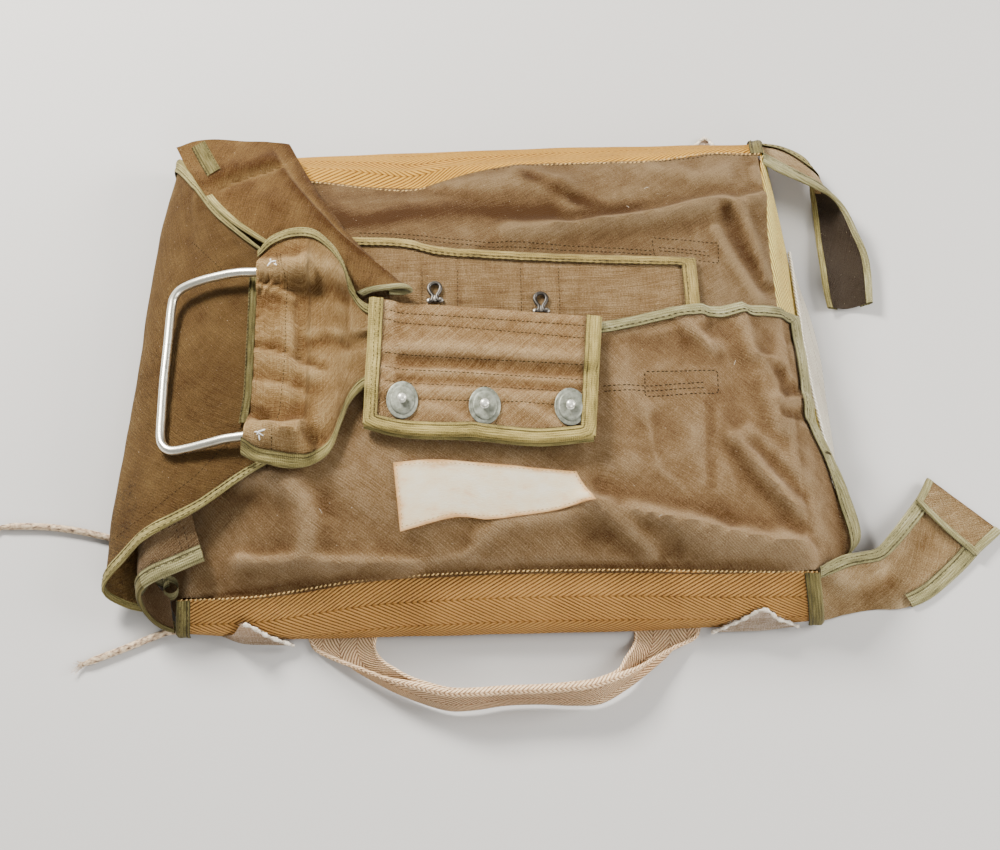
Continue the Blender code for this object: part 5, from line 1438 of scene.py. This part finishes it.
def spun(profile, tall=1.0, steps=48):
    """A turned piece about z from its profile, stretched along y."""
    bm = bmesh.new()
    verts = [bm.verts.new((r * MM, 0, z * MM)) for r, z in profile]
    edges = [bm.edges.new(pair) for pair in zip(verts, verts[1:])]
    bmesh.ops.spin(bm, geom=verts + edges, cent=(0, 0, 0), axis=(0, 0, 1),
                   angle=2 * math.pi, steps=steps, use_merge=True)
    bmesh.ops.remove_doubles(bm, verts=bm.verts, dist=1.2e-4 / 2)
    bmesh.ops.scale(bm, vec=(1, tall, 1), verts=bm.verts)
    return bm


def seat_on(bm, x, y, name, lift):
    """Turn a piece made about the origin flat on to the cloth at x, y."""
    hits = []
    for off_x, off_y in ((0, 0), (7, 0), (-7, 0), (0, 8), (0, -8)):
        hit = surfaces[name].ray_cast(Vector(((x + off_x) * MM, (y + off_y) * MM, 0.3)),
                                      Vector((0, 0, -1)))
        if hit[0] is not None:
            hits.append((hit[0].z / MM, off_x, off_y))
    slope = np.linalg.lstsq(np.array([(h[1], h[2], 1) for h in hits]),
                            np.array([h[0] for h in hits]), rcond=None)[0]
    up = Vector((-slope[0], -slope[1], 1)).normalized()
    high = max(h[0] - slope[0] * h[1] - slope[1] * h[2] for h in hits)
    turn = Vector((0, 0, 1)).rotation_difference(up).to_matrix().to_4x4()
    bmesh.ops.transform(bm, matrix=Matrix.Translation(
        (x * MM, y * MM, (high + lift) * MM)) @ turn, verts=bm.verts)
    return bm


zinc = cast_zinc("cast_zinc", (0.100, 0.104, 0.075), (0.230, 0.239, 0.195), 0.55)
bright_zinc = cast_zinc("bright_zinc", (0.510, 0.501, 0.425), (0.765, 0.756, 0.680), 0.3)
for stud, place in STUD_PLACES.items():
    plate = seat_on(spun(PLATE_PROFILE, PLATE_TALL), *place, "cover_flap_upper_cloth", 0.35)
    finished(stud + "_plate", plate, zinc, "zinc", stud, smooth=35)
    ball = seat_on(spun(BALL_PROFILE, 1.0, 32), *place, "cover_flap_upper_cloth", 0.35)
    finished(stud + "_ball", ball, bright_zinc, "zinc", smooth=35)

# ------------ hooks on the panel
# Two wire hooks are sewn to the panel behind the cover flap: a dark eye of bent wire.  Its two
# feet and its middle are dull lobes under the stitches that hold them.
HOOK_PLACES = {"panel_hook_left": (-33, 28), "panel_hook_right": (36, 17)}
HOOK_WIRE = 1.25
LOBE_HIGH = 1.1
HOOK_PATH = ((4.0, -7.2), (2.6, -7.4), (1.6, -5.8), (1.5, -3.4), (3.0, -0.8), (3.9, 2.2),
             (2.9, 5.0), (0.0, 6.3), (-2.9, 5.0), (-3.9, 2.2), (-3.0, -0.8), (-1.5, -3.4),
             (-1.6, -5.8), (-2.6, -7.4), (-4.0, -7.2))
# place and half size of each lobe
LOBES = ((-3.6, -7.0, 2.1, 2.0), (3.6, -7.0, 2.1, 2.0), (0.0, -5.4, 2.0, 2.7))
dark_wire = drawn_steel("dark_wire", (0.020, 0.017, 0.014), (0.075, 0.068, 0.060), 0.42)
dull_wire = drawn_steel("dull_wire", (0.05, 0.045, 0.036), (0.24, 0.22, 0.19), 0.42)
wire = along([(x, y, HOOK_WIRE) for x, y in HOOK_PATH], np.linspace(0, 1, 90))
for hook, place in HOOK_PLACES.items():
    finished(hook + "_wire", seat_on(tube(wire, HOOK_WIRE, 12), *place, "hook_panel_cloth", 0.4),
             dark_wire, "zinc", hook, smooth=60)
    lobes = bmesh.new()
    for x, y, long, wide in LOBES:
        bmesh.ops.create_uvsphere(lobes, u_segments=20, v_segments=12, radius=MM,
                                  matrix=Matrix.Translation((x * MM, y * MM, LOBE_HIGH * MM))
                                  @ Matrix.Diagonal((long, wide, LOBE_HIGH, 1)))
    finished(hook + "_lobes", seat_on(lobes, *place, "hook_panel_cloth", 0.4), dull_wire,
             "zinc", smooth=60)

# ------------ strap beside the right wall
# Off-white herringbone webbing stands on edge against the right wall; it goes on under the
# pack.  Its selvage is worn and has shed short fibres.
SIDE_STRAP = (
    (229, -100, 2.2, 228, -100, 8, 226, -100, 12),
    (230.5, -79, 2.2, 227.5, -79, 12, 223, -79, 18),
    (230.5, -50, 2.0, 225.5, -50, 14, 219, -50, 22),
    (230, -9, 2.0, 223.5, -9, 14, 215.5, -9, 23),
    (228, 19, 2.0, 221, 19, 14, 213, 19, 22),
    (224.5, 48, 2.0, 218.5, 48, 12.5, 211.5, 48, 20),
    (220, 70, 2.0, 216, 70, 11, 211, 70, 17),
    (217, 88, 2.2, 216, 88, 7, 213, 88, 11),
)
STRAP_CLEAR = WEBBING / 2 + 0.45


def fibres(bm, line, outward, up, count, long=2.6, thick=0.16):
    """Short bent fibres that stand out of a worn edge, each of three thin joints."""
    line, outward, up = (np.array(part, float) for part in (line, outward, up))
    for _ in range(count):
        place = chance.uniform(0, len(line) - 1.001)
        low, share = int(place), place % 1
        start = line[low] * (1 - share) + line[low + 1] * share
        ahead = unit(line[low + 1] - line[low])
        way = unit(outward[low] * chance.uniform(0.2, 1.0) + up[low] * chance.uniform(-0.15, 0.8)
                   + ahead * chance.uniform(-1.0, 1.0))
        bend = unit(np.array([chance.uniform(-1, 1) for _ in range(3)]))
        reach = long * chance.uniform(0.4, 1.2) / 3
        for joint in range(3):
            thin = thick * (1 - 0.25 * joint) / 2
            stop = start + way * reach
            turn = Vector((0, 0, 1)).rotation_difference(Vector(way)).to_matrix().to_4x4()
            bmesh.ops.create_cone(bm, cap_ends=False, segments=3, radius1=thin * MM,
                                  radius2=thin * 0.8 * MM, depth=reach * 1.1 * MM,
                                  matrix=Matrix.Translation(Vector((start + stop) / 2 * MM)) @ turn)
            start, way = stop, unit(way + bend * 0.45)
    return bm


def fluff(name, colour, light):
    """Loose cotton fibre, a little uneven in tone."""
    look = Finish(name, 0.95, sheen=0.3)
    return look.done(look.ramp(look.specks(look.place(), 420.0, 2.0), (0.35, colour),
                               (0.65, light)))


white_webbing = herringbone("white_webbing", (0.40, 0.32, 0.22), (0.78, 0.70, 0.55),
                            (0.95, 0.92, 0.80), stripe=11.0, pitch=1.7, lean=34)
tan_webbing = herringbone("tan_webbing", (0.196, 0.108, 0.051), (0.549, 0.351, 0.195),
                          (0.843, 0.630, 0.390), stripe=11.0, pitch=1.7, lean=34)
white_fluff = fluff("white_fluff", (0.508, 0.429, 0.326), (0.754, 0.686, 0.577))
strap = loft(SIDE_STRAP, 2.4)
strap = swollen(strap, 0.5 * np.sin(strap[..., 1] / 13.0))
strap = lay(strap, ["right_wall_webbing"], STRAP_CLEAR, up=(1, 0, 0), soft=3)
strap_sheet = cloth("side_strap_webbing", strap, WEBBING, white_webbing, "white_webbing",
                    "side_strap")
strap_edge = strap[:, -1]
selvage = tube(strap_edge, 1.15, 12, lambda at, share: 0.16 * np.sin(
    2 * math.pi * (at / 1.9 + 2 * share)))
finished("side_strap_selvage", selvage, white_webbing, "white_webbing", smooth=70)
fuzz = fibres(bmesh.new(), strap_edge, np.full(strap_edge.shape, (0.8, 0, 0.2)),
              np.full(strap_edge.shape, (0, 0, 1.0)), 150, long=2.4)
finished("side_strap_fibres", fuzz, white_fluff, "white_webbing", smooth=180)

# ------------ right hand ears
# The linings of the front and back walls run on past the right corners as two bound ears.
# The front one lies out flat, its end turned back on itself; the back one is twisted over.
EAR_FRONT_RIGHT = (
    (209.6, -184.5, 3.2, 207.9, -177, 19, 205, -161, 38.5),
    (226, -181, 2.6, 225, -171, 17, 221, -153, 35),
    (244, -178, 2.2, 238, -165, 14, 233, -149, 30),
    (262, -177, 2.0, 254, -162, 10, 246, -144, 24),
    (279, -171, 2.0, 268, -153, 7, 256, -133, 19),
    (293, -161, 2.0, 280, -140, 5, 267, -119, 14),
    (307, -149, 2.0, 292, -127, 3.5, 277, -106, 9),
    (318, -138, 2.0, 301, -116, 2.5, 283, -97, 6),
    (331, -127, 1.8, 309, -106, 2.0, 288, -88, 4),
)
EAR_BACK_RIGHT = (
    (197.5, 146, 39.5, 200, 163, 29, 201.4, 179.5, 9),
    (209, 140, 36, 214, 161, 23.5, 217, 176.5, 9),
    (224, 136, 30, 229, 154, 18, 231, 166, 11),
    (236, 132, 25, 240, 149, 13, 236, 158, 5),
    (247, 127, 21, 245, 139, 9, 235, 146, 3.5),
    (256, 117, 17, 249, 127, 5, 235, 130, 3.5),
    (262, 101, 13, 248, 106, 3.2, 235, 111, 4),
    (267, 85, 10, 250, 86, 2.4, 235, 88, 5.5),
    (268, 66, 8, 251, 65, 2.0, 235, 64, 7),
    (267, 48, 7, 251, 46.5, 2.0, 237, 46, 7),
)
EAR_FOLDS = (
    ridge(7.5, -2.6, 210, -171, 222, -176, 244, -172, 256, -163),
    ridge(7.0, 1.6, 214, -163, 232, -163, 248, -156),
    ridge(4.5, -0.8, 262, -150, 275, -138, 288, -126, sharp=True),
    ridge(3.5, -0.7, 282, -112, 300, -104, sharp=True),
)
EAR_LOWEST = CANVAS / 2 + 0.75          # clears the table under its tape
HEM = 23.0
ear_buff = canvas_cloth("ear_buff_canvas", (0.320, 0.212, 0.098), right_side_light=0.0)


def turned_end(grid, deep, thick, gap):
    """The grid with its last rows turned back over it in a tight round fold."""
    normal = normals(grid)
    ply = thick + gap
    last = len(grid) - 1
    step = length_of(grid[-6:, grid.shape[1] // 2]) / 5
    outward = unit(grid[-1] - grid[-3])
    rows = [grid[-1] + outward * math.sin(a) * ply / 2 + normal[-1] * (1 - math.cos(a)) * ply / 2
            for a in (math.pi * k / 6 for k in range(1, 6))]
    columns = np.arange(grid.shape[1])
    for back in np.arange(0, deep / step, 1.0):
        here = np.full(grid.shape[1], last - back)
        rows.append(spot(grid, here, columns) + unit(spot(normal, here, columns)) * ply)
    return np.concatenate([grid, rows])


front_ear = loft(EAR_FRONT_RIGHT, 2.4, sides=(True, True))
front_ear = swollen(front_ear, fold_height(EAR_FOLDS, *plan(front_ear))
                    + ripples(*plan(front_ear), 26.0, 0.7, 3))
front_ear[..., 2] = np.maximum(front_ear[..., 2], EAR_LOWEST)
front_ear = lay(front_ear, ["front_flap_cloth", "front_flap_right_tape", "right_wall_webbing"],
                CLEAR + 0.2, up=(0.25, -0.75, 0.6), soft=4)
flat_rows = len(front_ear)
front_ear = turned_end(front_ear, HEM, CANVAS, 1.3)
front_ear_sheet = cloth("ear_front_right_cloth", front_ear, CANVAS, ear_buff, "canvas",
                        "ear_front_right", bias=30)
starts_at = int(flat_rows * 0.42)
ear_tapes = [tape("ear_front_right_low_tape", front_ear, "low", CANVAS, pale_tape,
                  "ear_front_right_low_binding", span=(starts_at, None)),
             tape("ear_front_right_high_tape", front_ear, "high", CANVAS, pale_tape,
                  "ear_front_right_high_binding"),
             tape("ear_front_right_end_tape", front_ear, "end", CANVAS, pale_tape)]

back_ear = loft(EAR_BACK_RIGHT, 2.4, sides=(True, True))
back_ear = swollen(back_ear, 0.6 * np.sin(back_ear[..., 1] / 9.0 + back_ear[..., 0] / 15.0))
back_ear[..., 2] = np.maximum(back_ear[..., 2], EAR_LOWEST)
back_ear = lay(back_ear, ["right_wall_webbing", "pack_body_canvas"], CLEAR + 0.2,
               up=(1, 0, 0), soft=2, rows=slice(3, 12))
back_ear_sheet = cloth("ear_back_right_cloth", back_ear, CANVAS, ear_buff, "canvas",
                       "ear_back_right", bias=30)
back_tapes = [tape("ear_back_right_tape", back_ear, "low", CANVAS, pale_tape,
                   "ear_back_right_binding"),
              tape("ear_back_right_inner_tape", back_ear, "high", CANVAS, olive_tape)]
# Its far part, low beside the right wall with its inside up, takes the near-black canvas: painted
# shade.
back_ear_sheet.data.materials.append(shaded_inside_canvas)
for face in back_ear_sheet.data.polygons:
    if face.center.x > 0.234 and face.center.y < 0.140:
        face.material_index = 1
ear_spans = (("low", (starts_at, flat_rows - 1)), ("low", (flat_rows + 8, None)),
             ("high", (0, flat_rows - 1)), ("high", (flat_rows + 8, None)), ("end", (0, None)))
stitched("right_ear_stitches", dark_thread, "canvas",
         *((tape_lines(front_ear, CANVAS, [side], (2.1, 0.6), span=span), Stitch(thick=0.48))
           for side, span in ear_spans),
         (tape_lines(back_ear, CANVAS, ("low", "high")), Stitch(thick=0.48)))

# ------------ carrying handle
# One length of off-white webbing comes out flat under the front wall at both ends.  Between
# them it is folded lengthwise, so its two ribbed selvages meet in a ridge along the top.
CARRY_HANDLE = (
    (-121, -182, 1.6, -107, -182, 1.6, -93, -182, 1.6, -79, -182, 1.6),
    (-117, -190, 1.7, -106, -190.5, 1.6, -92, -191, 1.6, -80, -191, 1.8),
    (-104, -199, 6, -97, -203, 1.5, -86, -205, 1.8, -75, -202, 9),
    (-86, -209, 11, -84, -213, 1.5, -76, -213, 1.6, -66, -211, 15),
    (-64, -221, 17, -64, -225, 1.5, -60, -222, 1.6, -55, -219, 19),
    (-38, -231, 21, -37, -236, 1.5, -35, -232.5, 1.5, -34, -227, 21),
    (-18, -232.5, 22, -18, -237, 1.5, -18, -233.5, 1.5, -18, -228.6, 22),
    (2, -231.8, 21.5, 2, -234.8, 1.5, 2, -230.8, 1.5, 2, -227.8, 21.5),
    (24, -231.8, 21.5, 24, -234.8, 1.5, 24, -230.8, 1.5, 24, -227.8, 21.5),
    (44, -231.6, 22, 45, -236.5, 1.5, 44, -232.3, 1.5, 43, -227.2, 22),
    (62, -229.5, 22, 64, -236, 1.5, 61.5, -231.8, 1.5, 58.5, -225.3, 21),
    (82, -220, 18, 82, -226, 1.5, 78, -224, 1.5, 74, -219, 19),
    (98, -209, 12, 97, -215, 1.5, 89, -213, 1.6, 80, -209, 14),
    (112, -200, 7, 109, -204, 1.5, 98, -205, 1.8, 85.5, -200, 9),
    (126, -191.5, 1.8, 116, -192, 1.6, 101, -192.5, 1.6, 88, -192, 1.8),
    (130, -183, 1.6, 116, -183, 1.6, 102, -183, 1.6, 89, -183, 1.6),
)
HANDLE_THICK = 1.9
ACROSS_HANDLE = (8, 5, 8)       # cells between the four lines of the table


def rope_relief(pitch, turns, deep):
    """Strands that wind round a selvage."""
    return lambda at, turn: deep * (np.abs(np.sin(math.pi * (at / pitch + turns * turn))) ** 0.6
                                    - 0.6)


sections = np.reshape(np.array(CARRY_HANDLE, float), (len(CARRY_HANDLE), -1, 3))
down = stations(length_of(sections[:, 1]), 2.6)
gutter = []
for points in np.stack([along(sections[:, k], down) for k in range(4)], axis=1):
    travelled = run_of(points)
    marks = [np.linspace(start, stop, cells, endpoint=False)
             for start, stop, cells in zip(travelled, travelled[1:], ACROSS_HANDLE)]
    bent = at_marks(points, np.concatenate([*marks, travelled[-1:]]))
    for _ in range(2):
        bent[1:-1] = (bent[:-2] + 2 * bent[1:-1] + bent[2:]) / 4
    gutter.append(bent)
gutter = np.array(gutter)
gutter[..., 2] = np.maximum(gutter[..., 2], HANDLE_THICK / 2 + 0.35)
gutter_sheet = cloth("carry_handle_webbing", gutter[:, ::-1], HANDLE_THICK, tan_webbing,
                     "white_webbing", "carry_handle")
halfway = np.linspace(0, 1, len(gutter))
closed = (np.clip((halfway - 0.20) / 0.10, 0, 1) * np.clip((0.82 - halfway) / 0.10, 0, 1))[:, None]
closed = closed ** 2 * (3 - 2 * closed)
ridge_line = gutter[:, 0] * (1 - 0.42 * closed) + gutter[:, -1] * 0.42 * closed
ridge_line = along(ridge_line, np.linspace(0, 1, 640))
share = np.interp(np.linspace(0, 1, 640), halfway, closed[:, 0])
finished("carry_handle_ridge", tube(ridge_line, 1.25 + 1.35 * share, 28,
                                    rope_relief(4.4, 4, 0.42)),
         tan_webbing, "white_webbing", smooth=70)
inner_line = along(gutter[:, -1], np.linspace(0, 1, 520))
finished("carry_handle_inner_selvage", tube(inner_line, 1.15, 16, rope_relief(2.4, 2, 0.26)),
         tan_webbing, "white_webbing", smooth=70)

# ------------ strap corners
# Corners of the strap under the pack stick up in front of the front wall, and one behind the
# back wall.  Their cut edges have frayed into a soft white fringe.
STRAP_CORNERS = {
    "strap_corner_left": (
        (-177, -180, 3, -177, -180, 5), (-169, -184, 3, -169, -183, 14),
        (-161, -186, 3, -161, -180, 24), (-147, -187, 3, -147, -184, 13),
        (-131, -188, 3, -131, -188, 5)),
    "strap_corner_right": (
        (137, -190, 3, 137, -190, 5), (152, -190, 3, 152, -187, 14), (169, -190, 3, 169, -182, 24),
        (181, -189, 3, 181, -185, 13), (193, -188, 3, 193, -188, 5)),
    "strap_corner_back": (
        (150, 176, 1.6, 151, 179, 1.6), (157, 176, 1.6, 158, 187, 2.2),
        (163, 176, 1.6, 164, 191, 2.6), (168, 176, 1.6, 169, 185, 2.2),
        (174, 176, 1.6, 173, 179, 1.6)),
}
FIBRES_PER_MM = 4.2


def frayed_relief(at, turn):
    """Uneven tufts along a cut edge."""
    return (0.40 * np.sin(at * 4.1 + 6 * math.pi * turn)
            * np.sin(at * 1.7 + 5 * np.cos(turn * 2 * math.pi)) + 0.4 * math.sin(at * 0.83))


strap_cloth = plain_linen("strap_cotton", (0.476, 0.357, 0.246))
for strap_name, sections in STRAP_CORNERS.items():
    behind = "back" in strap_name
    corner_grid = loft(sections, 1.8)
    if not behind:
        corner_grid = lay(corner_grid, ["front_wall_webbing"], STRAP_CLEAR, up=(0, -1, 0), soft=3)
    cloth(strap_name + "_webbing", corner_grid, WEBBING, strap_cloth, "white_webbing", strap_name)
    edge = corner_grid[:, -1]
    from_peak = int(np.argmax(edge[:, 2])) if strap_name == "strap_corner_left" else 0
    frayed = edge[from_peak:]
    roll = along(frayed, np.linspace(0, 1, max(20, int(length_of(frayed) / 0.4))))
    finished(strap_name + "_frayed_roll", tube(roll, 1.0, 14, frayed_relief), white_fluff,
             "white_webbing", smooth=70)
    face = unit(normals(corner_grid)[:, -1][from_peak:])
    outward = unit(edge - corner_grid[:, 0] + 1e-6)[from_peak:]
    fringe = fibres(bmesh.new(), frayed, outward, face, int(FIBRES_PER_MM * length_of(frayed)),
                    long=3.0, thick=0.2)
    finished(strap_name + "_fibres", fringe, white_fluff, "white_webbing", smooth=180)

# ------------ floor and light
# A plain pale table and soft studio light: a wide lamp behind the left side,
# a softer one in front and a weak one at the right.
floor_look = Finish("pale_floor", 0.9)
floor_look.surface.inputs["Base Color"].default_value = (0.44, 0.43, 0.415, 1)
floor_mesh = bmesh.new()
bmesh.ops.create_grid(floor_mesh, x_segments=1, y_segments=1, size=4.0)
floor_data = bpy.data.meshes.new("floor")
floor_mesh.to_mesh(floor_data)
floor_mesh.free()
floor_data.materials.append(floor_look.material)
floor = bpy.data.objects.new("floor", floor_data)
bpy.context.collection.objects.link(floor)

# place, size, power and colour of each lamp
LAMPS = {"wide_lamp": ((-0.82, 0.98, 1.02), 0.50, 96, (1.0, 0.97, 0.92)),
         "front_lamp": ((0.40, -1.50, 1.05), 1.00, 27, (1.0, 0.98, 0.95)),
         "right_lamp": ((1.50, 0.05, 0.85), 0.80, 52, (1.0, 0.98, 0.95))}
for lamp_name, (place, size, power, colour) in LAMPS.items():
    light = bpy.data.lights.new(lamp_name, "AREA")
    light.shape = "SQUARE"
    light.size = size
    light.energy = power
    light.color = colour
    shining = bpy.data.objects.new(lamp_name, light)
    shining.location = place
    shining.rotation_mode = "QUATERNION"
    shining.rotation_quaternion = Vector(place).to_track_quat("Z", "Y")
    bpy.context.collection.objects.link(shining)
sky = bpy.data.worlds.new("sky")
sky.use_nodes = True
sky.node_tree.nodes["Background"].inputs[0].default_value = (1.0, 1.0, 1.0, 1)
sky.node_tree.nodes["Background"].inputs[1].default_value = 0.42
bpy.context.scene.world = sky
